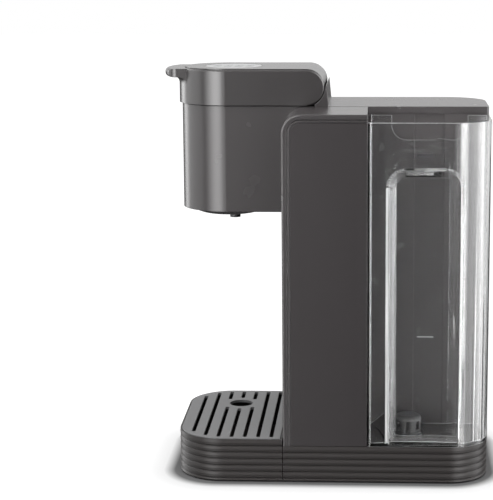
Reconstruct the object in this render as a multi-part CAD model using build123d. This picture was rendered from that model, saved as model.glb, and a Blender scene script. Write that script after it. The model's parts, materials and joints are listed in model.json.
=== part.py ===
from build123d import *
import os
from math import cos, radians, sin, sqrt

# Pod coffee machine: a narrow core carries the brew head, a wing at its side carries the
# clear reservoir, and a ribbed base has a drip tray docked at its front.
# Sizes are millimetres. X runs across the machine, Y to the rear and Z up. While the pieces
# are made, Y = 0 is the front face of the tower and Z = 0 is the table.

# Overall sizes
overall_height = 325.0
body_width = 144.0
body_depth = 164.0
base_height = 30.0
core_width = 82.0
tower_depth = 66.7
lid_height = 29.8
lid_reach = 90.0
lid_rear = 31.5
rear_corner_r = 33.5

# Walls and clearances
wall = 2.5
fit = 0.3
slide_gap = 0.5
pin_play = 0.05
foot_height = 1.2
foot_sink = 1.0

# Moulded ribs of the base and the tray
rib_first = 3.2
rib_pitch = 5.3
rib_depth = 0.8
rib_shoulder = 0.7
shoulder_share = 0.3

# Base
base_plate_thick = 2.2
base_plate_lift = 1.2
foot_r = 9.0
front_foot_inset = (20.0, 24.0)
rear_foot_inset = (28.0, 28.0)
boss_r = 4.0
boss_edge = 10.0
boss_front = 12.0
boss_rear = 44.0
screw_r = 1.5
screw_head_r = 3.0
screw_head_h = 1.3
screw_length = 9.0

# Drip tray and grate
tray_setback = 4.0
tray_height = 35.2
tray_corner_r = 37.0
tray_wall = 3.5
tray_floor = 3.0
tray_lip = 1.2
grate_thick = 2.2
grate_proud = 0.4
grate_edge_r = 0.4
slot_width = 3.2
slot_count = 7
slot_margin = 4.5
slot_front_margin = 12.5
slot_rear_margin = 9.6
drip_hole_r = 9.8
drip_land = 6.2
tongue_edge = 27.0
tongue_width = 20.0
tongue_height = 4.0
tongue_length = 8.0
tongue_low = 10.0
tray_foot_r = 7.0
tray_foot_edge = 24.0

# Tower with its side frame and panel
tower_corner_r = 15.0
frame_band = 6.2
frame_line = 3.9
frame_line_width = 0.6
frame_line_depth = 0.6
frame_edge_r = 1.2
panel_thick = 2.2
panel_sink = 0.2
panel_backing = 1.6

# Core
core_side_sink = 0.6
core_side_wall = 4.0
core_corner_r = 2.0
channel_depth = 2.0
channel_setback = 37.2
channel_width = 24.1
channel_top_drop = 1.0
rear_wall = 4.5
cover_thick = 2.2
cover_side = 1.5
cover_ledge = 8.0
cover_margin = 4.5
vent_count = 8
vent_pitch = 6.0
vent_width = 2.4
vent_drop = 10.0
vent_side = 2.0
gland_r = 8.0
gland_rise = 26.0
gland_collar = 2.0
gland_length = 3.0

# Deck and hood
deck_edge = 5.6
deck_front = 24.0
hood_gap = 0.4
hood_over = 1.6
hood_root_back = 3.3
hood_tip_back = 1.7
hood_tip_thick = 0.4
hood_lead_drop = 1.0

# Brew head
head_step = 2.2
head_height = 86.8
head_top_plate = 3.5
bulge_drop = 5.4
bulge_flat_r = 23.0
bulge_rim_drop = 0.3
bulge_round = 18.0
underside_thick = 2.0
brew_back = 4.0
nozzle_r = 4.45
nozzle_bore_r = 3.0
nozzle_reach = 10.3
nozzle_collar = 3.0
nozzle_collar_thick = 2.0

# Pod holder and needles
pod_r = 24.5
pod_bottom_r = 19.0
pod_wall = 2.2
pod_depth = 48.0
pod_flange_r = 30.0
pod_flange_thick = 1.4
funnel_drop = 12.0
spout_r = 5.0
spout_length = 3.0
needle_r = 1.5
needle_foot = 4.0
needle_foot_thick = 1.5
needle_tip = 3.0
needle_point_r = 0.7
exit_needle_length = 9.0
inlet_needle_length = 13.0

# Lid
lid_seam = 0.6
lid_edge_r = 1.2
plate_border = 4.4
plate_groove = 0.4
plate_thick = 2.2
plate_proud = 0.8
plate_end_rise = 3.2
lid_skin = 2.2
lip_reach = 11.5
lip_width = 50.0
lip_thick = 7.0
lip_corner_r = 8.0
lip_nose_r = 3.0
lip_root_r = 5.5
disc_r = 23.25
disc_drop = 0.1
disc_ledge = 3.0
inner_cover_thick = 2.5
inner_cover_rise = 0.6
seal_r = 25.0
seal_width = 3.5
seal_thick = 0.9

# Hinge
ear_offset = 24.0
ear_thick = 5.0
ear_room = 8.6
pin_r = 2.0
hinge_boss_r = 5.0
hinge_boss_length = 6.0
ear_slot_gap = 0.6
ear_slot_front = 8.0
ear_slot_rise = 1.8
elbow_length = 14.0
lid_switch_size = (8.0, 12.0, 10.0)
lid_switch_front = 8.0

# Buttons and their board
button_pitch = 9.0
button_width = 6.0
button_lengths = (16.0, 22.0, 22.0, 16.0)
button_names = ("power_button", "size_button_small", "size_button_medium", "size_button_large")
button_gap = 0.3
button_flange = 1.0
button_flange_thick = 1.0
button_stem_r = 1.6
button_travel = 0.8
switch_r = 2.5
switch_height = 0.7
board_thick = 1.6
board_r = 28.0
board_post_r = 2.2
board_gap = 0.4
stem_gap = 0.1

# Reservoir
tank_gap = 1.0
tank_seat = 0.3
tank_top_drop = 0.9
tank_wall = 2.5
tank_corner_r = 2.6
tank_rear_r = 31.0
pocket_front = 16.6
pocket_rear = 23.5
pocket_rise = 1.6
pocket_top_drop = 37.5
pocket_depth = 7.0
pocket_slope = 5.8
pocket_corner_r = 13.0
notch_front = 18.8
notch_rear = 17.2
notch_depth = 19.9
notch_r = 12.0

# Reservoir valve and its socket in the base
valve_back = 32.8
valve_r = 8.8
valve_bore_r = 6.0
valve_reach = 8.5
valve_flange_r = 12.0
valve_flange_thick = 2.0
valve_seat_thick = 2.0
valve_lift = 3.0
poppet_r = 5.2
poppet_thick = 2.0
poppet_stem_r = 2.5
poppet_stem_play = 0.7
poppet_tail = 1.8
poppet_guide_r = 1.5
poppet_guide = 2.8
spring_r = 4.0
spring_wire = 0.4
spring_turns = 3.0
spring_gap = 0.2
filter_r = 11.0
filter_height = 13.0
filter_thick = 1.2
filter_round = 4.0
filter_bars = 8
filter_slit = 3.2
filter_slit_low = 2.0
cap_clearance = 1.0
socket_play = 1.0
socket_wall = 3.2
socket_depth = 18.0
socket_floor = 2.0
socket_sink = 0.2
socket_flange = 3.0
socket_flange_thick = 2.0
socket_port_rise = 4.0
seal_land = 2.0
seal_height = 2.8
seal_play = 0.2
push_pin_r = 2.0

# Water path
hose_r = 4.2
hose_bore_r = 3.0
hose_hole_play = 1.0
hose_push = 2.0
stub_length = 10.0
stub_bore_r = 2.0
pump_rear = 26.0
pump_r = 16.0
pump_height = 56.0
pump_chamfer = 2.0
pump_collar = 3.0
pump_collar_low = 12.0
pump_collar_high = 16.0
pump_mount_h = 6.0
boiler_side = 13.0
boiler_pitch = 56.0
boiler_height = 126.0
boiler_skin = 1.2
boiler_end_r = 8.0
boiler_lift = 14.0
stand_wall = 2.5
boiler_port_rise = 74.0
hose_bend_r = 8.0
brew_hose_drop = 45.2
brew_bend_r = 14.0
element_r = 3.2
element_spread = 12.0
element_drop = 24.0
thermostat_r = 8.0
thermostat_thick = 6.0
thermostat_gap = 0.1
thermostat_strap = (0.8, 6.0, 5.0)

# Power board in the wing; each block is given as its height over the board, then its place and
# its length along Y and along Z
board_front = 12.0
board_rear = 10.7
board_rise = 30.0
board_length = 130.0
standoff_length = 8.4
standoff_r = 3.0
standoff_inset = 5.0
board_blocks = ((22.0, 8.0, 28.0, 14.0, 30.0), (15.0, 8.0, 16.0, 56.0, 20.0), (8.0, 6.0, 20.0, 96.0, 20.0))
capacitor_r = 5.0
capacitor_height = 18.0
capacitor_edge = 12.0
capacitor_rise = 60.0
capacitor_pitch = 16.0
capacitor_count = 3
part_sink = 0.5

# Places worked out from the sizes above
half = body_width / 2
core_x = -half + core_width
head_x = -half + core_width / 2
lid_half = core_width / 2
head_half = lid_half - head_step
nose_y = -lid_reach + lid_half
brew_y = nose_y + brew_back
tray_reach = lid_reach - tray_setback
handle_reach = lid_reach + lip_reach
deck_height = overall_height - lid_height
deck_under = deck_height - deck_edge
head_bottom = deck_height - head_height
head_rear = deck_front - fit
bulge_bottom = head_bottom - bulge_drop
nozzle_bottom = head_bottom - nozzle_reach
lid_bottom = deck_height + lid_seam
lid_end_r = (overall_height - lid_bottom) / 2
hinge_y = lid_rear - lid_end_r
hinge_z = overall_height - lid_end_r
ear_r = lid_end_r - ear_room
rim_top = overall_height - plate_proud
plate_floor = overall_height - plate_thick
skin_depth = plate_thick + lid_skin
skin_under = overall_height - skin_depth
board_top = hinge_z + hose_r + board_gap + board_thick
base_low = base_plate_lift - 0.2
tank_x0 = core_x + tank_gap
tank_y0 = tower_depth + slide_gap
tank_z0 = base_height + tank_seat
tank_top = deck_under - tank_top_drop
tank_floor_z = tank_z0 + tank_wall
valve_x = (tank_x0 + half - pocket_depth) / 2
valve_y = tank_y0 + valve_back
core_face = core_x - core_side_sink
core_front = tower_depth + fit
pod_top = deck_height - 0.1
pod_floor = pod_top - pod_depth
spout_bottom = pod_floor - pod_wall - funnel_drop
valve_low = tank_z0 - valve_reach
slot_pitch = (tray_reach - slot_front_margin - slot_rear_margin) / (slot_count - 1)
slots_y = [slot_front_margin - tray_reach + i * slot_pitch for i in range(slot_count)]
drip_y = slots_y[slot_count // 2]
pump_y = body_depth - pump_rear
boiler_y = pump_y - boiler_pitch
boiler_r = lid_half - boiler_side
boiler_z0 = base_height + boiler_lift
boiler_z1 = boiler_z0 + boiler_height
boiler_port_z = boiler_z0 + boiler_port_rise
pump_z0 = base_height + pump_mount_h
pump_z1 = pump_z0 + pump_height
socket_z0 = base_height - socket_depth
socket_top = base_height - socket_sink
side_inner = half - panel_thick - panel_sink - panel_backing
power_board_x = side_inner - standoff_length - board_thick
power_board_y = (board_front, tower_depth - board_rear)
power_board_z = (base_height + board_rise, base_height + board_rise + board_length)

# The finished part stands on the middle of its own footprint
part_shift = Pos(0, (handle_reach - body_depth) / 2, 0)


def block(x0, x1, y0, y1, z0, z1):
    """Box between two corners."""
    return Pos((x0 + x1) / 2, (y0 + y1) / 2, (z0 + z1) / 2) * Box(x1 - x0, y1 - y0, z1 - z0)


def rod_x(x0, x1, y, z, r):
    """Round bar along X."""
    return Pos((x0 + x1) / 2, y, z) * Rot(0, 90, 0) * Cylinder(r, x1 - x0)


def rod_y(x, y0, y1, z, r):
    """Round bar along Y."""
    return Pos(x, (y0 + y1) / 2, z) * Rot(90, 0, 0) * Cylinder(r, y1 - y0)


def rod_z(x, y, z0, z1, r):
    """Round bar along Z."""
    return Pos(x, y, (z0 + z1) / 2) * Cylinder(r, z1 - z0)


def plan(x0, x1, y0, y1, front_left=0, front_right=0, rear_right=0, rear_left=0):
    """Flat outline with its own radius at each corner."""
    sheet = Pos((x0 + x1) / 2, (y0 + y1) / 2) * Rectangle(x1 - x0, y1 - y0)
    corners = ((x0, y0, front_left), (x1, y0, front_right), (x1, y1, rear_right), (x0, y1, rear_left))
    for x, y, r in corners:
        if r > 0:
            sheet = fillet(sheet.vertices().sort_by_distance((x, y, 0))[0], r)
    return sheet


def nose_plan(half_width, rear_y):
    """Flat outline of the brew head: a half round front and straight sides."""
    front = Pos(head_x, nose_y) * Circle(half_width)
    sides = Pos(head_x, (nose_y + rear_y) / 2) * Rectangle(2 * half_width, rear_y - nose_y)
    return front + sides


def capsule(length, width):
    """Flat outline of a slot with round ends, along X."""
    return SlotOverall(length, width)


def prism(sheet, z0, z1):
    """Upright solid over a flat outline."""
    return extrude(Pos(0, 0, z0) * sheet, z1 - z0, dir=(0, 0, 1))


def side_prism(sheet, x0, x1):
    """Solid across the machine; the outline's x is the machine's Y and its y is Z."""
    return extrude(Pos(x0, 0, 0) * (Plane.YZ * sheet), x1 - x0, dir=(1, 0, 0))


def turned(points, x, y):
    """Solid turned about an upright axis from (radius, height) points."""
    return Pos(x, y, 0) * revolve(Plane.XZ * make_face(Polyline(*points, close=True)), Axis.Z)


def hose(points, bend_r, bore_r=hose_bore_r, outer_r=hose_r):
    """Round tube along straight runs joined by arcs."""
    path = FilletPolyline(*points, radius=bend_r)
    start = Plane(origin=path @ 0, z_dir=path % 0)
    return sweep(start * (Circle(outer_r) - Circle(bore_r)), path=path)


def ribbed(outline, z_low, z_high):
    """Stack of moulded ribs, where outline(inset) gives the plan at one depth."""
    count = int((z_high - rib_first) / rib_pitch - 0.2) + 1
    levels = [z_low] + [rib_first + i * rib_pitch for i in range(count)] + [z_high]
    soft = rib_depth * shoulder_share
    sections = [(z_low, soft)]
    for low, high in zip(levels, levels[1:]):
        shoulder = min(rib_shoulder, (high - low) / 4)
        sections += [(low + shoulder, soft if low > z_low else 0.0), ((low + high) / 2, 0.0)]
        if high < z_high:
            sections += [(high - shoulder, soft), (high, rib_depth)]
    sections.append((z_high, soft))
    return loft([Pos(0, 0, z) * outline(inset) for z, inset in sections], ruled=True)


# Base


def base_plan(inset, front_inset=0.0):
    """Plan of the base behind the tray seam, moved in by one inset on its three open sides."""
    r = rear_corner_r - inset
    return plan(-half + inset, half - inset, front_inset, body_depth - inset, rear_right=r, rear_left=r)


boss_last = body_depth - boss_rear
boss_rows = (boss_front, (boss_front + boss_last) / 2, boss_last)
boss_places = [(side * (half - boss_edge), y) for side in (-1, 1) for y in boss_rows]
front_foot = (half - front_foot_inset[0], front_foot_inset[1])
rear_foot = (half - rear_foot_inset[0], body_depth - rear_foot_inset[1])
foot_places = [(side * x, y) for side in (-1, 1) for x, y in (front_foot, rear_foot)]
tongue_places = [side * (half - tongue_edge) for side in (-1, 1)]
plate_top = base_plate_lift + base_plate_thick


def base_housing():
    """Ribbed lower casing, open below, with the reservoir socket's hole and the tray's slots."""
    body = ribbed(base_plan, base_low, base_height)
    body -= prism(base_plan(wall + rib_depth, wall), base_low - 1, base_height - wall)
    for x, y in boss_places:
        body += rod_z(x, y, plate_top, base_height - wall / 2, boss_r)
        body -= rod_z(x, y, 0, plate_top + screw_length, screw_r + pin_play)
    body -= rod_z(valve_x, valve_y, 0, base_height + 1, valve_r + socket_play + socket_wall + fit)
    body -= rod_z(head_x, pump_y, base_height / 2, base_height + 1, hose_r + hose_hole_play)
    for x in tongue_places:
        body -= block(
            x - tongue_width / 2 - slide_gap, x + tongue_width / 2 + slide_gap, -1, wall + 1,
            tongue_low - slide_gap, tongue_low + tongue_height + slide_gap,
        )
    return body


def base_plate():
    """Flat bottom that closes the base and holds the feet."""
    body = prism(base_plan(wall + rib_depth + fit, wall + fit), base_plate_lift, plate_top)
    for x, y in foot_places:
        body -= rod_z(x, y, 0, base_plate_lift + foot_sink, foot_r + fit / 2)
    for x, y in boss_places:
        body -= rod_z(x, y, 0, plate_top + 1, screw_r + pin_play)
        body -= rod_z(x, y, 0, base_plate_lift + screw_head_h, screw_head_r + fit)
    return body


def foot(x, y, r):
    """Rubber foot with a soft lower edge."""
    pad = rod_z(x, y, 0, foot_height + foot_sink, r)
    return chamfer(pad.edges().group_by(Axis.Z)[0], foot_height / 4)


def screw(place):
    """Screw with its head down and its shank up, placed at the underside of its head."""
    head = Pos(0, 0, -screw_head_h / 2) * Cylinder(screw_head_r, screw_head_h)
    return place * (head + Pos(0, 0, screw_length / 2 - 0.5) * Cylinder(screw_r, screw_length - 1))


# Drip tray and grate


def tray_plan(inset, rear_inset=0.0):
    """Plan of the drip tray, moved in by one inset on its three open sides."""
    r = tray_corner_r - inset
    rear = -slide_gap - rear_inset
    return plan(-half + inset, half - inset, -tray_reach + inset, rear, front_left=r, front_right=r)


tray_foot_places = [(side * (half - tray_foot_edge), -tray_reach / 2) for side in (-1, 1)]
grate_seat = tray_height + grate_proud - grate_thick - fit / 2


def drip_tray():
    """Ribbed bin with a ledge for the grate and two tongues that dock in the base."""
    body = ribbed(tray_plan, base_low, tray_height)
    body -= prism(tray_plan(tray_wall, tray_wall), foot_height + foot_sink + tray_floor, grate_seat + 1)
    body -= prism(tray_plan(tray_lip, tray_lip), grate_seat, tray_height + 1)
    for x, y in tray_foot_places:
        body -= rod_z(x, y, 0, foot_height + foot_sink, tray_foot_r + fit / 2)
    for x in tongue_places:
        body += block(
            x - tongue_width / 2, x + tongue_width / 2, -slide_gap - 1, tongue_length,
            tongue_low, tongue_low + tongue_height,
        )
    return body


def slot_ends(y):
    """Ends across the machine of the drip slot at one depth."""
    straight = half - tray_corner_r
    dy = -tray_reach + tray_corner_r - (y - slot_width / 2)
    reach = tray_corner_r - slot_margin - tray_lip
    side = straight + (sqrt(reach**2 - dy**2) if dy > 0 else reach)
    land = drip_hole_r + drip_land
    away = y - drip_y
    if abs(away) >= land - slot_width / 2:
        return [(-side, side)]
    opening = sqrt(land**2 - away**2)
    return [(-side, head_x - opening), (head_x + opening, side)]


def drip_grate():
    """Lift-off grate with rows of slots and one round hole under the nozzle."""
    z1 = tray_height + grate_proud
    body = prism(tray_plan(tray_lip + fit, tray_lip + fit), z1 - grate_thick, z1)
    body = fillet(body.edges().group_by(Axis.Z)[-1], grate_edge_r)
    cuts = [rod_z(head_x, drip_y, grate_seat - 1, z1 + 1, drip_hole_r)]
    for y in slots_y:
        for x0, x1 in slot_ends(y):
            slot = Pos((x0 + x1) / 2, y) * capsule(x1 - x0, slot_width)
            cuts.append(prism(slot, grate_seat - 1, z1 + 1))
    return body - cuts


# Tower


def tower_side(inset, z0=base_height, rear=tower_depth):
    """Side outline of the tower with its round upper front corner."""
    r = tower_corner_r - inset
    return plan(inset, rear, z0, deck_height - 0.1 - inset, rear_left=r)


def power_board_posts():
    """Places of the four posts that carry the power board."""
    low_y, high_y = power_board_y
    low_z, high_z = power_board_z
    return [
        (y, z)
        for y in (low_y + standoff_inset, high_y - standoff_inset)
        for z in (low_z + standoff_inset, high_z - standoff_inset)
    ]


def tower_housing():
    """Front casing: full width tower, with the wing beside the head and the framed side."""
    body = side_prism(tower_side(0), -half, half)
    open_rear = tower_depth + 1
    rim = body.faces().sort_by(Axis.X)[-1].edges().filter_by_position(Axis.Z, base_height + 1, deck_height)
    body = fillet(rim.filter_by_position(Axis.Y, -1, tower_depth - 1), frame_edge_r)
    body -= side_prism(tower_side(wall, base_height - 1, tower_depth - wall), -half + wall, side_inner)
    body -= block(-half + wall, core_x, tower_depth - wall - 1, open_rear, base_height - 1, deck_height)
    seat = tower_side(frame_band, base_height - 1, open_rear)
    body -= side_prism(seat, side_inner + panel_backing, half + 1)
    line = tower_side(frame_line, base_height - 1, open_rear)
    line -= tower_side(frame_line + frame_line_width, base_height - 1, open_rear + 1)
    body -= side_prism(line, half - frame_line_depth, half + 1)
    body -= block(-half - 1, core_x + fit, deck_front - fit, open_rear, deck_under, deck_height + 1)
    body -= block(
        head_x - head_half - fit / 2, head_x + head_half + fit / 2, -1, deck_front + 1,
        head_bottom - fit, deck_height + 1,
    )
    for y, z in power_board_posts():
        body += rod_x(power_board_x + board_thick, side_inner + panel_backing / 2, y, z, standoff_r)
    return body


def side_panel():
    """Flat panel set into the framed side of the wing."""
    outline = tower_side(frame_band + fit, base_height + fit, tower_depth)
    return side_prism(outline, half - panel_sink - panel_thick, half - panel_sink)


# Core


def core_plan(inset, side):
    """Plan of the core behind the tower, out to one side face."""
    return plan(
        -half + inset, side, core_front, body_depth - inset,
        rear_right=max(core_corner_r - inset, 0), rear_left=rear_corner_r - inset,
    )


cover_x0 = -half + rear_corner_r + cover_side
cover_x1 = core_face - cover_margin
cover_z0 = base_height + cover_margin
cover_z1 = deck_under - cover_margin
gland_z = base_height + gland_rise


def cover_screw_places():
    """Places of the rear cover's four screws."""
    inset = cover_ledge / 2 + fit
    columns = (cover_x0 + inset, cover_x1 - inset)
    return [(x, z) for x in columns for z in (cover_z0 + inset, cover_z1 - inset)]


def core_housing():
    """Rear casing of the core, with a channelled wall beside the reservoir."""
    body = prism(core_plan(0, core_face), base_height, deck_under)
    rear_inner = body_depth - rear_wall
    side = core_face - core_side_wall
    inner = plan(-half + wall, side, core_front - 1, rear_inner, rear_left=rear_corner_r - rear_wall)
    body -= prism(inner, base_height - 1, deck_under + 1)
    channel_y = tank_y0 + channel_setback
    body -= block(
        core_face - channel_depth, core_face + 1, channel_y, channel_y + channel_width,
        base_height - 1, deck_under - channel_top_drop,
    )
    body -= block(
        cover_x0 - fit, cover_x1 + fit, body_depth - cover_thick, body_depth + 1,
        cover_z0 - fit, cover_z1 + fit,
    )
    body -= block(
        cover_x0 + cover_ledge, cover_x1 - cover_ledge, rear_inner - 1, body_depth + 1,
        cover_z0 + cover_ledge, cover_z1 - cover_ledge,
    )
    for x, z in cover_screw_places():
        body -= rod_y(x, body_depth - screw_length, body_depth, z, screw_r + pin_play)
    return body


def rear_cover():
    """Back panel with its vents and the hole for the cord's gland."""
    y0 = body_depth - cover_thick
    body = block(cover_x0, cover_x1, y0, body_depth, cover_z0, cover_z1)
    middle = (cover_x0 + cover_x1) / 2
    length = cover_x1 - cover_x0 - 2 * (cover_ledge + vent_side)
    for i in range(vent_count):
        z = cover_z1 - cover_ledge - vent_drop - i * vent_pitch
        body -= vent_slot(middle, z, length)
    for x, z in cover_screw_places():
        body -= rod_y(x, y0 - 1, body_depth + 1, z, screw_r + pin_play)
        body -= rod_y(x, body_depth - screw_head_h, body_depth + 1, z, screw_head_r + fit)
    body -= rod_y(middle, y0 - 1, body_depth + 1, gland_z, gland_r + pin_play)
    return body


def vent_slot(x, z, length):
    """Cutter for one level vent slot in the back."""
    sheet = Pos(x, body_depth - cover_thick / 2, z) * (Plane.XZ * capsule(length, vent_width))
    return extrude(sheet, cover_thick, dir=(0, 1, 0), both=True)


def cord_gland():
    """Rubber bush in the back where a cord would enter."""
    x = (cover_x0 + cover_x1) / 2
    y0 = body_depth - cover_thick
    inner = y0 - fit - gland_length
    body = rod_y(x, inner, body_depth, gland_z, gland_r)
    body += rod_y(x, inner, y0 - fit, gland_z, gland_r + gland_collar)
    return body - rod_y(x, inner - 1, body_depth + 1, gland_z, gland_r / 2)


# Deck and hood


def top_deck():
    """Top cover of the core with its edge band and the hood behind the lid."""
    r = rear_corner_r
    outline = plan(-half, core_x, deck_front, body_depth, rear_right=core_corner_r, rear_left=r)
    body = prism(outline, deck_under, deck_height)
    inner = plan(-half + wall, core_x - wall, deck_front + wall, body_depth - wall, 0, 0, 0, r - wall)
    body -= prism(inner, deck_under - 1, deck_height - wall)
    gate_y = (deck_front - 1, deck_front + wall + 1)
    body -= block(-half + wall, core_x - wall, *gate_y, deck_under - 1, deck_height - wall)
    bow_r = lid_end_r + hood_gap
    low, top = deck_height - 1, hinge_z + hood_over
    root, tip = lid_rear + hood_root_back, lid_rear + hood_tip_back
    rear = [(root, low), (root, deck_height), (tip, top), (tip - hood_tip_thick, top)]
    lead_z = hinge_z - hood_lead_drop
    front = [(hinge_y + bow_r, lead_z), (deck_front, lead_z), (deck_front, low)]
    fin = make_face(Polyline(*rear, *front, close=True)) - Pos(hinge_y, hinge_z) * Circle(bow_r)
    return body + side_prism(fin, -half, core_x)


# Brew head


def head_housing():
    """Brew head shell with its top plate and the two hinge ears."""
    body = prism(nose_plan(head_half, head_rear), head_bottom, deck_height)
    body -= prism(nose_plan(head_half - wall, head_rear + 1), head_bottom - 1, deck_height - head_top_plate)
    body -= rod_z(head_x, brew_y, head_bottom, overall_height, pod_r + pod_wall + fit)
    body -= rod_z(head_x, brew_y, pod_top - pod_flange_thick, overall_height, pod_flange_r + fit)
    for side in (-1, 1):
        x = head_x + side * ear_offset
        x0 = x - ear_thick / 2
        ear = block(x0, x0 + ear_thick, hinge_y - ear_r, hinge_y + ear_r, deck_height - 1, hinge_z)
        ear += rod_x(x0, x0 + ear_thick, hinge_y, hinge_z, ear_r)
        body += ear - rod_x(x0 - 1, x0 + ear_thick + 1, hinge_y, hinge_z, pin_r + pin_play)
    low = deck_height - head_top_plate - 1
    return body - rod_z(head_x, hinge_y, low, deck_height + 1, hose_r + hose_hole_play)


def head_underside():
    """Lower cover of the brew head, a shallow bowl round the nozzle."""
    rim_r = head_half - wall - fit
    z1 = head_bottom + underside_thick
    body = prism(nose_plan(rim_r, -fit), head_bottom, z1)

    def bowl(lift, z_end):
        with BuildSketch() as half_bowl:
            with BuildLine():
                rim = (rim_r, head_bottom + lift)
                corner = (bulge_flat_r, bulge_bottom + bulge_rim_drop + lift)
                FilletPolyline((0, bulge_bottom + lift), corner, rim, radius=bulge_round)
                Polyline(rim, (rim_r, z_end), (0, z_end), (0, bulge_bottom + lift))
            make_face()
        return Pos(head_x, nose_y, 0) * revolve(Plane.XZ * half_bowl.sketch, Axis.Z)

    body += bowl(0, z1)
    body -= bowl(underside_thick, z1 + 5)
    return body - rod_z(head_x, brew_y, bulge_bottom - 1, head_bottom, nozzle_r + fit)


def pod_holder():
    """Tapered cup for the pod, with its funnel and spout."""
    x, y = head_x, brew_y
    outer = [
        (0, spout_bottom), (spout_r, spout_bottom), (spout_r, spout_bottom + spout_length),
        (pod_bottom_r + pod_wall, pod_floor - pod_wall), (pod_r + pod_wall, pod_top - pod_flange_thick),
        (pod_flange_r, pod_top - pod_flange_thick), (pod_flange_r, pod_top), (0, pod_top),
    ]
    inner = [(0, pod_floor), (pod_bottom_r, pod_floor), (pod_r, pod_top + 1), (0, pod_top + 1)]
    body = turned(outer, x, y) - turned(inner, x, y)
    return body - rod_z(x, y, spout_bottom - 1, pod_floor + 1, needle_r + 1)


def exit_needle():
    """Hollow spike on the floor of the pod holder."""
    top = pod_floor + exit_needle_length
    spike = rod_z(head_x, brew_y, pod_floor, pod_floor + needle_foot_thick, needle_r + needle_foot)
    spike += rod_z(head_x, brew_y, pod_floor, top - needle_tip, needle_r)
    spike += Pos(head_x, brew_y, top - needle_tip / 2) * Cone(needle_r, needle_point_r, needle_tip)
    return spike - rod_z(head_x, brew_y, pod_floor - 1, top + 1, needle_r / 3)


def brew_nozzle():
    """Spout that leads the drink from the pod holder out of the head."""
    top = spout_bottom - fit
    body = rod_z(head_x, brew_y, nozzle_bottom, top, nozzle_r)
    body += rod_z(head_x, brew_y, top - nozzle_collar_thick, top, nozzle_r + nozzle_collar)
    return body - rod_z(head_x, brew_y, nozzle_bottom - 1, top + 1, nozzle_bore_r)


def hinge_pins():
    """Two short steel pins, one through each ear."""
    pins = []
    for side in (-1, 1):
        inner = head_x + side * (ear_offset - ear_thick / 2)
        outer = head_x + side * (ear_offset + ear_thick / 2 + ear_slot_gap + hinge_boss_length)
        pins.append(rod_x(min(inner, outer), max(inner, outer), hinge_y, hinge_z, pin_r))
    return pins


def lid_switch():
    """Small switch under the head's top plate that feels whether the lid is shut."""
    width, depth, height = lid_switch_size
    top = deck_height - head_top_plate
    x = head_x + ear_offset + ear_thick
    y0 = hinge_y - lid_switch_front
    return block(x - width / 2, x + width / 2, y0, y0 + depth, top - height, top)


# Lid


def lid_side(depth, low, step):
    """Side outline of the lid with its round rear end, in by one depth and its top down by one step."""
    r = lid_end_r - depth
    front = plan(-handle_reach, hinge_y + step, low, hinge_z + r - step)
    crown = Pos(hinge_y + step, hinge_z) * Circle(r - step)
    heel = Pos(hinge_y, hinge_z) * Circle(r) & plan(hinge_y - r, hinge_y + r + 1, hinge_z - r - 1, hinge_z)
    return front + crown + heel


def lid_block(inset, depth, low, step=0.0):
    """Solid inside the lid's round nose and its side outline, in by one inset and one depth."""
    body = prism(nose_plan(lid_half - inset, lid_rear + 2), low, overall_height + 2)
    return body & side_prism(lid_side(depth, low, step), -half, core_x)


def lip():
    """Lifting lip that follows the lid's nose, with a rounded edge and a filleted root."""
    reach = handle_reach + nose_y
    z1 = rim_top
    z0 = z1 - lip_thick
    r0 = lid_half - wall
    slab = plan(r0, reach, z0, z1, front_right=lip_nose_r, rear_right=lip_nose_r)
    root = plan(r0, lid_half + lip_root_r, z0 - lip_root_r, z0 + 1)
    root -= Pos(lid_half + lip_root_r, z0 - lip_root_r) * Circle(lip_root_r)
    ring = Pos(head_x, nose_y, 0) * revolve(Plane.XZ * (slab + root), Axis.Z)
    front = Pos(head_x, nose_y) * Circle(reach)
    x0, x1 = head_x - lip_width / 2, head_x + lip_width / 2
    outline = front & plan(x0, x1, nose_y - reach - 1, nose_y - r0 / 2)
    tips = outline.vertices().group_by(Axis.Y)[0]
    outline = fillet(tips, lip_corner_r)
    return ring & prism(outline, z0 - lip_root_r, z1)


def board_posts():
    """Places of the posts under the lid's skin that carry the button board."""
    r = board_r - 1.25 * board_post_r
    return [(head_x + r * cos(radians(a)), brew_y + r * sin(radians(a))) for a in (90, 210, 330)]


plate_low = hinge_z + plate_end_rise


def plate_layer(border, proud, low):
    """Layer that the top plate lies in, over the lid's top and down its rear end to one height."""
    return lid_block(border, -proud, low) - lid_block(0, plate_thick, lid_bottom - 1)


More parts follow.
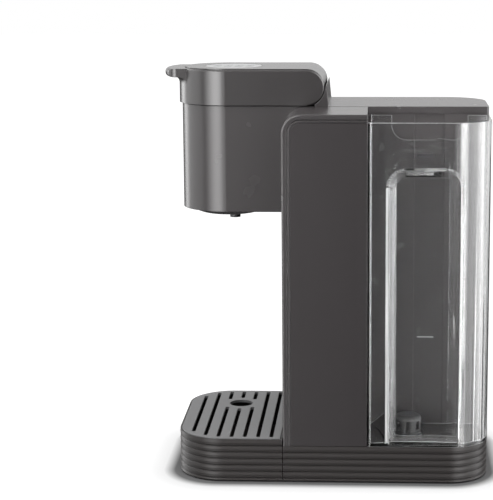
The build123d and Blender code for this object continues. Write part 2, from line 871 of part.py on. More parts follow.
def lid_shell():
    """Lid with its lip, the recess for the top plate and the hinge bosses."""
    body = lid_block(0, 0, lid_bottom, plate_proud)
    rim = body.edges().filter_by_position(Axis.Z, rim_top - 0.01, rim_top + 0.01)
    body = fillet(rim.filter_by_position(Axis.Y, -handle_reach, hinge_y - 1), lid_edge_r)
    body += lip()
    body -= lid_block(wall, skin_depth, lid_bottom - 1)
    body -= plate_layer(plate_border, 1, plate_low - plate_groove)
    body -= rod_z(head_x, brew_y, skin_under - 1, overall_height + 1, disc_r - disc_ledge)
    slot_top = hinge_z + ear_slot_rise
    for offset, width in ((-ear_offset, ear_thick), (0, 2 * hose_r), (ear_offset, ear_thick)):
        x = head_x + offset
        w = width / 2 + ear_slot_gap
        body -= block(x - w, x + w, hinge_y - ear_slot_front, lid_rear + 1, lid_bottom - 1, slot_top)
    for side in (-1, 1):
        inner = head_x + side * (ear_offset + ear_thick / 2 + ear_slot_gap)
        outer = inner + side * hinge_boss_length
        x0, x1 = min(inner, outer), max(inner, outer)
        body += rod_x(x0, x1, hinge_y, hinge_z, hinge_boss_r)
        body += block(x0, x1, hinge_y - wall / 2, hinge_y + wall / 2, hinge_z, skin_under + lid_skin / 2)
        body -= rod_x(x0 - 1, x1 + 1, hinge_y, hinge_z, pin_r + pin_play)
    for x, y in board_posts():
        body += rod_z(x, y, board_top, skin_under + lid_skin / 2, board_post_r)
    return body


def lid_top_plate():
    """Top plate that stands a little proud of the lid's rim and follows its rear end down."""
    body = plate_layer(plate_border + plate_groove, 0, plate_low)
    return body - rod_z(head_x, brew_y, plate_floor - 1, overall_height + 1, disc_r + fit / 2)


def button_y(i):
    """Depth of one button's middle."""
    return brew_y + (i - (len(button_names) - 1) / 2) * button_pitch


def control_disc():
    """Round control panel with one opening for each button."""
    body = rod_z(head_x, brew_y, plate_floor, overall_height - disc_drop, disc_r)
    for i, length in enumerate(button_lengths):
        sheet = Pos(head_x, button_y(i)) * capsule(length + 2 * button_gap, button_width + 2 * button_gap)
        body -= prism(sheet, plate_floor - 1, overall_height + 1)
    return body


def button(i):
    """Key with a holding flange under the disc and a stem down to its switch."""
    place = Pos(head_x, button_y(i))
    length = button_lengths[i]
    flange_top = plate_floor - button_gap
    flange_low = flange_top - button_flange_thick
    body = prism(place * capsule(length, button_width), flange_low, overall_height)
    wide = capsule(length + 2 * button_flange, button_width + 2 * button_flange)
    body += prism(place * wide, flange_low, flange_top)
    stem_low = board_top + switch_height + button_travel + stem_gap
    return body + rod_z(head_x, button_y(i), stem_low, flange_low + button_flange_thick / 2, button_stem_r)


def button_board():
    """Round circuit board under the control disc with one small switch for each button."""
    low = board_top - board_thick
    body = rod_z(head_x, brew_y, low, board_top, board_r)
    for i in range(len(button_names)):
        body += rod_z(head_x, button_y(i), low, board_top + switch_height, switch_r)
    return body


inner_cover_z = lid_bottom + inner_cover_rise


def lid_inner_cover():
    """Plate that closes the underside of the lid over the pod."""
    z1 = inner_cover_z + inner_cover_thick
    body = prism(nose_plan(lid_half - wall - fit, hinge_y - lid_end_r - 1), inner_cover_z, z1)
    return body - rod_z(head_x, brew_y, inner_cover_z - 1, z1 + 1, needle_r + 1 + pin_play)


def pod_seal():
    """Rubber ring under the lid that presses on the pod's rim."""
    z0 = inner_cover_z - seal_thick
    return rod_z(head_x, brew_y, z0, inner_cover_z, seal_r) - rod_z(
        head_x, brew_y, z0 - 1, inner_cover_z + 1, seal_r - seal_width
    )


def inlet_needle():
    """Hollow spike that pierces the pod's lid, carried by the inner cover."""
    x, y = head_x, brew_y
    top = hinge_z - hose_bend_r
    low = inner_cover_z - inlet_needle_length
    body = rod_z(x, y, inner_cover_z - 1, inner_cover_z + inner_cover_thick + 1, needle_r + 1)
    body += rod_z(x, y, inner_cover_z - needle_foot_thick, inner_cover_z, needle_r + needle_foot)
    body += rod_z(x, y, low + needle_tip, inner_cover_z, needle_r)
    body += rod_z(x, y, inner_cover_z + inner_cover_thick, top, hose_bore_r - pin_play)
    body += Pos(x, y, low + needle_tip / 2) * Cone(needle_point_r, needle_r, needle_tip)
    body -= rod_z(x, y, low - 1, top + 1, needle_r / 3)
    return body


def lid_tube():
    """Water tube of the lid, from an elbow on the hinge line to the inlet needle."""
    low = inner_cover_z + inner_cover_thick + fit + 1
    points = ((head_x, hinge_y - 3, hinge_z), (head_x, brew_y, hinge_z), (head_x, brew_y, low))
    body = hose(points, hose_bend_r)
    elbow = rod_x(head_x - elbow_length / 2, head_x + elbow_length / 2, hinge_y, hinge_z, hinge_boss_r)
    return body + (elbow - rod_y(head_x, hinge_y - 20, hinge_y, hinge_z, hose_bore_r))


# Reservoir


def tank_plan(inset):
    """Plan of the reservoir with its large outer rear corner."""
    small = tank_corner_r - inset
    return plan(
        tank_x0 + inset, half - inset, tank_y0 + inset, body_depth - inset, small, small,
        tank_rear_r - inset, small,
    )


def pocket_solid(grow, depth):
    """Tapered block of the side pocket, grown by a wall and reaching to one depth."""
    slope = pocket_slope / pocket_depth

    def face(x, back):
        shrink = (half - back) * slope - grow
        r = max(pocket_corner_r - shrink, 1.0)
        outline = plan(
            tank_y0 + pocket_front + shrink, body_depth - pocket_rear - shrink,
            tank_z0 + pocket_rise + shrink, tank_top - pocket_top_drop - shrink, rear_left=r, rear_right=r,
        )
        return Pos(x, 0, 0) * (Plane.YZ * outline)

    start = half + 1
    return loft([face(start, start), face(half - depth, half - depth)], ruled=True)


def pocket_block():
    """Outside of the pocket with its wall, down to the reservoir's floor."""
    return pocket_solid(tank_wall, pocket_depth + tank_wall) & prism(tank_plan(0), tank_floor_z, tank_top)


def reservoir_pocket():
    """Clear pocket for the fingers, welded into the reservoir's outer wall."""
    return pocket_block() - pocket_solid(0, pocket_depth)


def reservoir_floor():
    """Clear floor, welded under the reservoir's walls, with a hole for the valve."""
    plate = prism(tank_plan(0), tank_z0, tank_floor_z) - pocket_solid(0, pocket_depth)
    return plate - rod_z(valve_x, valve_y, tank_z0 - 1, tank_floor_z + 1, valve_r + pin_play)


def reservoir_tank():
    """Clear walls of the open reservoir with a window for the pocket and a notch in the inner wall."""
    body = prism(tank_plan(0), tank_floor_z, tank_top)
    body -= prism(tank_plan(tank_wall), tank_floor_z - 1, tank_top + 1)
    body -= pocket_block()
    notch_y = (tank_y0 + notch_front, body_depth - notch_rear)
    notch = plan(*notch_y, tank_top - notch_depth, tank_top + 1, notch_r, notch_r)
    return body - side_prism(notch, tank_x0 - 1, tank_x0 + tank_wall + 1)


flange_z = tank_floor_z + valve_flange_thick


def tank_valve_body():
    """Valve tube through the reservoir's floor, with a flange inside and a seat below."""
    body = rod_z(valve_x, valve_y, valve_low, flange_z, valve_r)
    body += rod_z(valve_x, valve_y, tank_floor_z, flange_z, valve_flange_r)
    body -= rod_z(valve_x, valve_y, valve_low + valve_seat_thick, flange_z + 1, valve_bore_r)
    return body - rod_z(valve_x, valve_y, valve_low - 1, flange_z, poppet_stem_r + poppet_stem_play)


poppet_z = valve_low + valve_seat_thick + fit
poppet_top = poppet_z + poppet_thick
cap_z = poppet_top + poppet_guide + valve_lift + cap_clearance


def valve_poppet():
    """Poppet that the socket's push pin lifts off its seat."""
    body = rod_z(valve_x, valve_y, poppet_z, poppet_top, poppet_r)
    body += rod_z(valve_x, valve_y, valve_low - poppet_tail, poppet_z, poppet_stem_r)
    return body + rod_z(valve_x, valve_y, poppet_top, poppet_top + poppet_guide, poppet_guide_r)


def valve_spring():
    """Coil spring between the poppet and the filter cap."""
    low = poppet_top + spring_wire + spring_gap
    height = cap_z - poppet_top - 2 * (spring_wire + spring_gap)
    path = Pos(valve_x, valve_y, low) * Helix(height / spring_turns, height, spring_r)
    section = Plane(origin=path @ 0, z_dir=path % 0) * Circle(spring_wire)
    return sweep(section, path=path, is_frenet=True)


def tank_filter():
    """Barred filter cap over the valve, inside the reservoir."""
    top = flange_z + filter_height
    body = rod_z(valve_x, valve_y, flange_z, top, filter_r)
    body = fillet(body.edges().group_by(Axis.Z)[-1], filter_round)
    body -= rod_z(valve_x, valve_y, flange_z - 1, top - filter_thick, filter_r - filter_thick)
    body += rod_z(valve_x, valve_y, cap_z, top - filter_thick / 2, spring_r + spring_wire * 2)
    low, inner = flange_z + filter_slit_low, filter_r - filter_round
    slit = block(inner, filter_r + 1, -filter_slit / 2, filter_slit / 2, low, top - filter_round)
    for i in range(filter_bars):
        body -= Pos(valve_x, valve_y, 0) * Rot(0, 0, i * 360 / filter_bars) * slit
    return body


def tank_socket():
    """Cup in the base that takes the reservoir's valve and leads the water to the pump."""
    x, y = valve_x, valve_y
    bore = valve_r + socket_play
    outer = bore + socket_wall
    flange_top = socket_top - wall
    body = rod_z(x, y, socket_z0, socket_top, outer)
    body += rod_z(x, y, flange_top - socket_flange_thick, flange_top, outer + socket_flange)
    body -= rod_z(x, y, socket_z0 + socket_floor, base_height + 1, bore)
    body -= rod_z(x, y, socket_top - seal_height, base_height + 1, bore + seal_land)
    body += rod_z(x, y, socket_z0 + 1, valve_low - poppet_tail - fit, push_pin_r)
    z = socket_z0 + socket_port_rise
    body += rod_x(x - outer - stub_length, x - outer + 1, y, z, hose_bore_r - pin_play)
    return body - rod_x(x - outer - stub_length - 1, x - push_pin_r - 1, y, z, stub_bore_r)


def socket_seal():
    """Rubber ring in the mouth of the socket."""
    outer = valve_r + socket_play + seal_land - seal_play
    z0 = socket_top - seal_height
    ring = rod_z(valve_x, valve_y, z0, z0 + seal_height - fit, outer)
    return ring - rod_z(valve_x, valve_y, z0 - 1, z0 + seal_height, valve_r + fit)


# Inner works


def inlet_hose():
    """Hose from the reservoir's socket to the pump, inside the base."""
    z = socket_z0 + socket_port_rise
    start = valve_x - (valve_r + socket_play + socket_wall) - hose_push
    end = (head_x, pump_y, pump_z0 - hose_push)
    points = ((start, valve_y, z), (head_x, valve_y, z), (head_x, pump_y, z), end)
    return hose(points, hose_bend_r)


def water_pump():
    """Upright pump with a stub at each end."""
    body = rod_z(head_x, pump_y, pump_z0, pump_z1, pump_r)
    body = chamfer(body.edges().filter_by(GeomType.CIRCLE), pump_chamfer)
    collar = (pump_z0 + pump_collar_low, pump_z1 - pump_collar_high)
    body += rod_z(head_x, pump_y, *collar, pump_r + pump_collar)
    low = pump_z0 - stub_length
    body += rod_z(head_x, pump_y, low, pump_z0 + 1, hose_bore_r - pin_play)
    body += rod_z(head_x, pump_y, pump_z1 - 1, pump_z1 + stub_length, hose_bore_r - pin_play)
    return body - rod_z(head_x, pump_y, low - 1, pump_z1 + stub_length + 1, stub_bore_r)


def pump_mount():
    """Rubber ring that the pump stands on."""
    ring = rod_z(head_x, pump_y, base_height, pump_z0, pump_r)
    return ring - rod_z(head_x, pump_y, base_height - 1, pump_z0 + 1, hose_r + 2 * hose_hole_play)


def pump_hose():
    """Hose from the pump's top to the boiler's side."""
    points = (
        (head_x, pump_y, pump_z1 + hose_push), (head_x, pump_y, boiler_port_z),
        (head_x, boiler_y + boiler_r + hose_push, boiler_port_z),
    )
    return hose(points, hose_bend_r)


def boiler():
    """Steel boiler: a thin upright can with domed ends and two stubs."""
    body = rod_z(head_x, boiler_y, boiler_z0, boiler_z1, boiler_r)
    body = fillet(body.edges().filter_by(GeomType.CIRCLE), boiler_end_r)
    side = boiler_y + boiler_r
    body += rod_y(head_x, side - boiler_skin, side + stub_length, boiler_port_z, hose_bore_r - pin_play)
    body += rod_z(head_x, boiler_y, boiler_z1 - 1, boiler_z1 + stub_length, hose_bore_r - pin_play)
    void = rod_z(head_x, boiler_y, boiler_z0 + boiler_skin, boiler_z1 - boiler_skin, boiler_r - boiler_skin)
    body -= fillet(void.edges().filter_by(GeomType.CIRCLE), boiler_end_r - boiler_skin)
    body -= rod_y(head_x, side - 2 * boiler_skin, side + stub_length + 1, boiler_port_z, stub_bore_r)
    low = boiler_z1 - 2 * boiler_skin
    return body - rod_z(head_x, boiler_y, low, boiler_z1 + stub_length + 1, stub_bore_r)


def boiler_stand():
    """Ring stand that carries the boiler off the base."""
    seat = boiler_z0 + boiler_end_r
    ring = rod_z(head_x, boiler_y, base_height, seat, boiler_r + fit + stand_wall)
    ring -= rod_z(head_x, boiler_y, base_height + stand_wall, seat + 1, boiler_r + fit)
    ring += rod_z(head_x, boiler_y, base_height, boiler_z0 - fit, boiler_r / 2)
    ring -= rod_z(head_x, boiler_y, base_height - 1, seat, boiler_r / 2 - stand_wall)
    return ring


def heating_element():
    """Hairpin heating element that stands on the boiler's floor."""
    low = boiler_z0 + boiler_skin
    high = boiler_z1 - element_drop
    x0, x1 = head_x - element_spread, head_x + element_spread
    points = ((x0, boiler_y, low), (x0, boiler_y, high), (x1, boiler_y, high), (x1, boiler_y, low))
    path = FilletPolyline(*points, radius=element_spread * 0.9)
    return sweep(Plane(origin=path @ 0, z_dir=path % 0) * Circle(element_r), path=path)


def thermostat():
    """Round thermostat on the boiler's side."""
    thick, width, tab = thermostat_strap
    x0 = head_x + boiler_r + thermostat_gap
    z = (boiler_z0 + boiler_z1) / 2
    z0, z1 = z - thermostat_r - tab, z + thermostat_r + tab
    body = rod_x(x0, x0 + thermostat_thick, boiler_y, z, thermostat_r)
    return body + block(x0, x0 + thick, boiler_y - width / 2, boiler_y + width / 2, z0, z1)


def brew_hose():
    """Hose from the boiler's top up to the elbow on the hinge line."""
    end = hinge_z - hinge_boss_r - fit
    brew_hose_z = deck_height - brew_hose_drop
    points = (
        (head_x, boiler_y, boiler_z1 + hose_push), (head_x, boiler_y, brew_hose_z),
        (head_x, hinge_y, brew_hose_z), (head_x, hinge_y, end),
    )
    return hose(points, brew_bend_r)


def power_board():
    """Power board on its posts in the wing, with its larger components."""
    y0, y1 = power_board_y
    z0, z1 = power_board_z
    x = power_board_x
    sink = x + part_sink
    body = block(x, x + board_thick, y0, y1, z0, z1)
    for height, y, length, z, rise in board_blocks:
        body += block(x - height, sink, y0 + y, y0 + y + length, z0 + z, z0 + z + rise)
    for i in range(capacitor_count):
        z = z0 + capacitor_rise + i * capacitor_pitch
        body += rod_x(x - capacitor_height, sink, y1 - capacitor_edge, z, capacitor_r)
    return body


def all_nodes():
    """Every piece of the machine under its own name."""
    nodes = {
        "base_housing": base_housing(),
        "base_plate": base_plate(),
        "rubber_feet": [foot(x, y, foot_r) for x, y in foot_places],
        "tower_housing": tower_housing(),
        "side_panel": side_panel(),
        "core_housing": core_housing(),
        "rear_cover": rear_cover(),
        "cord_gland": cord_gland(),
        "top_deck": top_deck(),
        "head_housing": head_housing(),
        "head_underside": head_underside(),
        "brew_nozzle": brew_nozzle(),
        "pod_holder": pod_holder(),
        "exit_needle": exit_needle(),
        "hinge_pins": hinge_pins(),
        "lid_switch": lid_switch(),
        "tank_socket": tank_socket(),
        "socket_seal": socket_seal(),
        "inlet_hose": inlet_hose(),
        "water_pump": water_pump(),
        "pump_mount": pump_mount(),
        "pump_hose": pump_hose(),
        "boiler": boiler(),
        "boiler_stand": boiler_stand(),
        "heating_element": heating_element(),
        "thermostat": thermostat(),
        "brew_hose": brew_hose(),
        "power_board": power_board(),
        "lid_shell": lid_shell(),
        "lid_top_plate": lid_top_plate(),
        "control_disc": control_disc(),
        "button_board": button_board(),
        "lid_inner_cover": lid_inner_cover(),
        "pod_seal": pod_seal(),
        "inlet_needle": inlet_needle(),
        "lid_tube": lid_tube(),
        "reservoir_tank": reservoir_tank(),
        "reservoir_pocket": reservoir_pocket(),
        "reservoir_floor": reservoir_floor(),
        "tank_valve_body": tank_valve_body(),
        "tank_filter": tank_filter(),
        "valve_poppet": valve_poppet(),
        "valve_spring": valve_spring(),
        "drip_tray": drip_tray(),
        "tray_feet": [foot(x, y, tray_foot_r) for x, y in tray_foot_places],
        "drip_grate": drip_grate(),
    }
    for i, name in enumerate(button_names):
        nodes[name] = button(i)
    under = base_plate_lift + screw_head_h
    screws = [screw(Pos(x, y, under)) for x, y in boss_places]
    for x, z in cover_screw_places():
        screws.append(screw(Pos(x, body_depth - screw_head_h, z) * Rot(90, 0, 0)))
    nodes["housing_screws"] = screws
    return nodes


def main():
    os.makedirs("parts", exist_ok=True)
    for name, solids in all_nodes().items():
        if isinstance(solids, list):
            solids = Compound(children=[part_shift * solid for solid in solids])
        else:
            solids = part_shift * solids
        export_step(solids, f"parts/{name}.step")


main()
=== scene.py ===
"""Dresses the pod coffee machine: its finishes, clear tank, printed marks, studio and camera.

Lengths are metres. X runs across the machine with the reservoir on the +X side, Y runs to
the rear and Z up. The machine stands on Z = 0.
"""

import json
import logging
import math
from dataclasses import dataclass
from enum import Enum

import bmesh
import bpy
from mathutils import Matrix, Vector

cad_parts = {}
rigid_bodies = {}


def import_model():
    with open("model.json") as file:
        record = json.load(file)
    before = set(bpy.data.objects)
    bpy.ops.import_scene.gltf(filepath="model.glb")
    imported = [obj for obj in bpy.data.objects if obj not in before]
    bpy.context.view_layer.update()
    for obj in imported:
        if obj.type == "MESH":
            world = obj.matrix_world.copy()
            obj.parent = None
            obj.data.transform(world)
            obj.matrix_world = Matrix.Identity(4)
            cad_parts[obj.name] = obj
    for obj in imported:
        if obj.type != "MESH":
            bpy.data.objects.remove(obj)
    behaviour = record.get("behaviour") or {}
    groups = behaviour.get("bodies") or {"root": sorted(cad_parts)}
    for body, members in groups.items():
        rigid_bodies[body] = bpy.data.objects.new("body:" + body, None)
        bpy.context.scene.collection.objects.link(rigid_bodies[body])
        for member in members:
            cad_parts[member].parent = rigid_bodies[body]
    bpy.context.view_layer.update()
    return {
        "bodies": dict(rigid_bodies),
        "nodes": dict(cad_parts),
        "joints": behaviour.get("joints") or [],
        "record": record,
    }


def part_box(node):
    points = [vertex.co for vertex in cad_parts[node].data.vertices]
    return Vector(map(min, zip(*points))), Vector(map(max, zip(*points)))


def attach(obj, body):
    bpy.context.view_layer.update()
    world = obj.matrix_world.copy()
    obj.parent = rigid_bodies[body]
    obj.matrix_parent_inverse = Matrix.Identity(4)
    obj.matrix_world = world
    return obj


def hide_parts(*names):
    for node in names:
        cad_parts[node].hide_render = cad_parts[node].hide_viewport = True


LOG = logging.getLogger("pod_coffee_machine")

Colour = tuple[float, float, float]
Point2 = tuple[float, float]
Point3 = tuple[float, float, float]

MM = 0.001
POINT_GAP = 0.0001 * MM
WHITE = (1.0, 1.0, 1.0, 1.0)


class Plane(Enum):
    """The plane that a flat outline is drawn in."""

    SIDE = "side"
    TOP = "top"

    def place(self, u: float, v: float, level: float) -> Vector:
        """Gives a point of an outline in the machine's frame.

        Args:
            u: The point's first coordinate in the plane.
            v: The point's second coordinate in the plane.
            level: How far off the plane the point lies.

        Returns:
            The point.
        """
        if self is Plane.SIDE:
            return Vector((level, u, v))
        return Vector((u, v, level))


class NodeGraph:
    """Builds the shader nodes of one material or world.

    A mix node's colour sockets share their names with its other ones, so they go by number.
    """

    mix_dark = 6
    mix_light = 7
    mix_result = 2
    pattern_low = 0.3
    pattern_high = 0.7
    soft_samples = 4
    edge_samples = 8

    def __init__(self, tree: bpy.types.NodeTree) -> None:
        """Empties the tree that the nodes go into, and keeps it."""
        self.tree = tree
        self.tree.nodes.clear()

    def add(self, kind: str, **values: object) -> bpy.types.Node:
        """Adds a node and sets its input sockets.

        Args:
            kind: The node's class name without its ShaderNode prefix.
            **values: Socket names, spaces as underscores, with a number, a colour or a socket.

        Returns:
            The new node.
        """
        node = self.tree.nodes.new("ShaderNode" + kind)
        for name, value in values.items():
            self.feed(node, name.replace("_", " "), value)
        return node

    def feed(self, node: bpy.types.Node, name: str, value: object) -> None:
        """Links a socket to an input, or sets the input's constant value.

        Args:
            node: The node whose input is fed.
            name: The input's name.
            value: A socket, a number or a colour.
        """
        socket = node.inputs[name]
        if isinstance(value, bpy.types.NodeSocket):
            self.tree.links.new(value, socket)
        else:
            socket.default_value = value

    def math(self, operation: str, first: object, second: object = 0.0) -> bpy.types.NodeSocket:
        """Adds a math node.

        Args:
            operation: The math node's operation.
            first: The first socket or number.
            second: The second socket or number.

        Returns:
            The node's output socket.
        """
        node = self.tree.nodes.new("ShaderNodeMath")
        node.operation = operation
        for socket, value in zip(node.inputs, (first, second)):
            if isinstance(value, bpy.types.NodeSocket):
                self.tree.links.new(value, socket)
            else:
                socket.default_value = value
        return node.outputs[0]

    def place(self, stretch: Point3 = (1.0, 1.0, 1.0)) -> bpy.types.NodeSocket:
        """Gives the piece's own coordinates, stretched along each axis.

        Args:
            stretch: How many times finer a pattern is along X, Y and Z.

        Returns:
            The coordinates' socket.
        """
        coordinates = self.tree.nodes.new("ShaderNodeTexCoord")
        mapping = self.tree.nodes.new("ShaderNodeMapping")
        mapping.inputs["Scale"].default_value = stretch
        self.tree.links.new(coordinates.outputs["Object"], mapping.inputs["Vector"])
        return mapping.outputs[0]

    def noise(self, size: float, detail: float,
              stretch: Point3 = (1.0, 1.0, 1.0)) -> bpy.types.NodeSocket:
        """Adds a cloudy pattern from 0 to 1, with patches as wide as the size in metres."""
        node = self.add("TexNoise", Vector=self.place(stretch), Scale=1.0 / size, Detail=detail)
        return node.outputs[0]

    def ranged(self, source: bpy.types.NodeSocket, low: float, high: float) -> bpy.types.NodeSocket:
        """Spreads a pattern's middle range over two values.

        Args:
            source: A pattern from 0 to 1.
            low: The value at the pattern's low end.
            high: The value at the pattern's high end.

        Returns:
            The spread value's socket.
        """
        node = self.add("MapRange", Value=source, From_Min=self.pattern_low, From_Max=self.pattern_high,
                        To_Min=low, To_Max=high)
        return node.outputs[0]

    def tint(self, source: bpy.types.NodeSocket, dark: Colour, light: Colour) -> bpy.types.NodeSocket:
        """Turns a pattern into a run between two colours.

        Args:
            source: A pattern from 0 to 1.
            dark: The colour at the low end.
            light: The colour at the high end.

        Returns:
            The colour's socket.
        """
        node = self.tree.nodes.new("ShaderNodeMix")
        node.data_type = "RGBA"
        node.inputs[self.mix_dark].default_value = (*dark, 1.0)
        node.inputs[self.mix_light].default_value = (*light, 1.0)
        self.tree.links.new(source, node.inputs[0])
        return node.outputs[self.mix_result]

    def grain(self, height: bpy.types.NodeSocket, strength: float, depth: float,
              edge: float) -> bpy.types.NodeSocket:
        """Turns a pattern into a rough surface whose sharp edges are softened.

        Args:
            height: The pattern that stands for the surface's height.
            strength: How much of the roughness shows.
            depth: The height of the grain in metres.
            edge: The radius of the softened edges in metres.

        Returns:
            The normal's socket.
        """
        soft = self.add("Bevel", Radius=edge)
        soft.samples = self.soft_samples
        bump = self.add("Bump", Strength=strength, Distance=depth, Height=height)
        self.tree.links.new(soft.outputs[0], bump.inputs["Normal"])
        return bump.outputs[0]

    def near_edge(self, radius: float, gain: float) -> bpy.types.NodeSocket:
        """Finds where the surface turns at a sharp edge.

        Args:
            radius: How far from the edge it is found, in metres.
            gain: How fast the share rises to 1 with the turn.

        Returns:
            The share's socket, 0 on flat faces and up to 1 at an edge.
        """
        soft = self.add("Bevel", Radius=radius)
        soft.samples = self.edge_samples
        plain = self.tree.nodes.new("ShaderNodeNewGeometry")
        turned = self.tree.nodes.new("ShaderNodeVectorMath")
        turned.operation = "DOT_PRODUCT"
        self.tree.links.new(soft.outputs[0], turned.inputs[0])
        self.tree.links.new(plain.outputs["Normal"], turned.inputs[1])
        share = self.math("MULTIPLY", self.math("SUBTRACT", 1.0, turned.outputs["Value"]), gain)
        return self.math("MINIMUM", share, 1.0)

    def blend(self, share: bpy.types.NodeSocket, first: bpy.types.Node,
              second: bpy.types.Node) -> bpy.types.Node:
        """Mixes two shaders.

        Args:
            share: How much of the second shader there is.
            first: The shader at a share of 0.
            second: The shader at a share of 1.

        Returns:
            The mixed shader.
        """
        node = self.tree.nodes.new("ShaderNodeMixShader")
        self.tree.links.new(share, node.inputs[0])
        self.tree.links.new(first.outputs[0], node.inputs[1])
        self.tree.links.new(second.outputs[0], node.inputs[2])
        return node

    def backdrop(self, strength: object) -> bpy.types.Node:
        """Adds a white background, whose strength is a number or a socket."""
        return self.add("Background", Color=WHITE, Strength=strength)

    def finish(self, shader: bpy.types.Node) -> None:
        """Ends the graph with a surface output."""
        output = self.tree.nodes.new("ShaderNodeOutputMaterial")
        self.tree.links.new(shader.outputs[0], output.inputs["Surface"])


def new_material(name: str) -> tuple[bpy.types.Material, NodeGraph]:
    """Makes an empty material with nodes.

    Args:
        name: The finish's name.

    Returns:
        The material and the graph that fills it.
    """
    material = bpy.data.materials.new(name)
    material.use_nodes = True
    return material, NodeGraph(material.node_tree)


def scaled(colour: Colour, share: float) -> Colour:
    """Gives the colour made lighter or darker by a share."""
    return tuple(channel * share for channel in colour)


@dataclass(frozen=True)
class MouldedPlastic:
    """Satin moulded plastic with a fine grain and faintly uneven colour."""

    name: str
    colour: Colour
    roughness: float = 0.34
    roughness_spread: float = 0.004
    roughness_patch: float = 50.0 * MM / 3
    mottle: float = 0.02
    mottle_patch: float = 50.0 * MM
    mottle_detail: float = 3.0
    grain_size: float = 0.5 * MM
    grain_strength: float = 0.05
    grain_depth: float = 0.04 * MM
    fine_detail: float = 2.0
    edge: float = 0.4 * MM
    gloss: float = 0.5

    def material(self) -> bpy.types.Material:
        """Builds the finish's material.

        Returns:
            The new material.
        """
        material, graph = new_material(self.name)
        cloud = graph.noise(self.mottle_patch, self.mottle_detail)
        wear = graph.noise(self.roughness_patch, self.fine_detail)
        height = graph.noise(self.grain_size, self.fine_detail)
        shader = graph.add(
            "BsdfPrincipled",
            Base_Color=graph.tint(cloud, scaled(self.colour, 1 - self.mottle),
                                  scaled(self.colour, 1 + self.mottle)),
            Roughness=graph.ranged(wear, self.roughness - self.roughness_spread,
                                   self.roughness + self.roughness_spread),
            Specular_IOR_Level=self.gloss,
            Normal=graph.grain(height, self.grain_strength, self.grain_depth, self.edge),
        )
        graph.finish(shader)
        return material


@dataclass(frozen=True)
class ClearPlastic:
    """Clear moulded plastic with faint flow marks. Haze is its milky share; its edges are made milkier
    as a painted highlight for bright lines of refracted light.
    """

    name: str
    colour: Colour
    roughness: float = 0.02
    haze: float = 0.0
    edge_highlight_haze: float = 0.5
    edge: float = 0.7 * MM
    edge_gain: float = 6.0
    index: float = 1.49
    mottle: float = 0.02
    mottle_detail: float = 2.0
    flow_size: float = 120.0 * MM
    flow_depth: float = 0.01 * MM
    flow_strength: float = 0.25
    flow_detail: float = 1.0
    flow_stretch: Point3 = (1.0, 1.0, 0.3)

    def material(self) -> bpy.types.Material:
        """Builds the finish's material, which lets lamps through.

        Returns:
            The new material.
        """
        material, graph = new_material(self.name)
        flow = graph.noise(self.flow_size, self.flow_detail, self.flow_stretch)
        bump = graph.add("Bump", Strength=self.flow_strength, Distance=self.flow_depth, Height=flow)
        cloud = graph.noise(self.flow_size, self.mottle_detail)
        # Painted highlight: near its edges the plastic turns milky and pale in place of the light that
        # rounded clear edges refract.
        painted_edge_highlight = graph.math("MULTIPLY", graph.near_edge(self.edge, self.edge_gain), self.edge_highlight_haze)
        clear = graph.math("SUBTRACT", 1.0 - self.haze, painted_edge_highlight)
        shader = graph.add(
            "BsdfPrincipled",
            Base_Color=graph.tint(cloud, scaled(self.colour, 1 - self.mottle), self.colour),
            Roughness=self.roughness,
            IOR=self.index,
            Transmission_Weight=clear,
            Normal=bump.outputs[0],
        )
        path = graph.tree.nodes.new("ShaderNodeLightPath")
        through = graph.add("BsdfTransparent", Color=(*self.colour, 1.0))
        graph.finish(graph.blend(path.outputs["Is Shadow Ray"], shader, through))
        return material


@dataclass(frozen=True)
class BrushedSteel:
    """Stainless steel with fine lines along one axis."""

    name: str
    colour: Colour
    roughness: float = 0.3
    smoother: float = 0.07
    rougher: float = 0.1
    dark_share: float = 0.85
    line: float = 0.3 * MM
    line_detail: float = 3.0
    line_strength: float = 0.15
    line_depth: float = 0.02 * MM
    stretch: Point3 = (1.0, 1.0, 0.04)
    edge: float = 0.2 * MM

    def material(self) -> bpy.types.Material:
        """Builds the finish's material.

        Returns:
            The new material.
        """
        material, graph = new_material(self.name)
        lines = graph.noise(self.line, self.line_detail, self.stretch)
        shader = graph.add(
            "BsdfPrincipled",
            Base_Color=graph.tint(lines, scaled(self.colour, self.dark_share), self.colour),
            Metallic=1.0,
            Roughness=graph.ranged(lines, self.roughness - self.smoother, self.roughness + self.rougher),
            Normal=graph.grain(lines, self.line_strength, self.line_depth, self.edge),
        )
        graph.finish(shader)
        return material


@dataclass(frozen=True)
class SoftRubber:
    """Matt rubber or silicone, dusty in patches."""

    name: str
    colour: Colour
    roughness: float = 0.75
    roughness_spread: float = 0.08
    dark_share: float = 0.85
    light_share: float = 1.1
    patch: float = 10.0 * MM
    patch_detail: float = 3.0
    grain_size: float = 0.8 * MM
    grain_detail: float = 2.0
    grain_strength: float = 0.2
    grain_depth: float = 0.05 * MM
    edge: float = 0.3 * MM
    see_through: float = 0.0
    see_depth: float = 2.0 * MM

    def material(self) -> bpy.types.Material:
        """Builds the finish's material.

        Returns:
            The new material.
        """
        material, graph = new_material(self.name)
        cloud = graph.noise(self.patch, self.patch_detail)
        height = graph.noise(self.grain_size, self.grain_detail)
        shader = graph.add(
            "BsdfPrincipled",
            Base_Color=graph.tint(cloud, scaled(self.colour, self.dark_share),
                                  scaled(self.colour, self.light_share)),
            Roughness=graph.ranged(cloud, self.roughness - self.roughness_spread,
                                   self.roughness + self.roughness_spread),
            Subsurface_Weight=self.see_through,
            Subsurface_Scale=self.see_depth,
            Normal=graph.grain(height, self.grain_strength, self.grain_depth, self.edge),
        )
        graph.finish(shader)
        return material


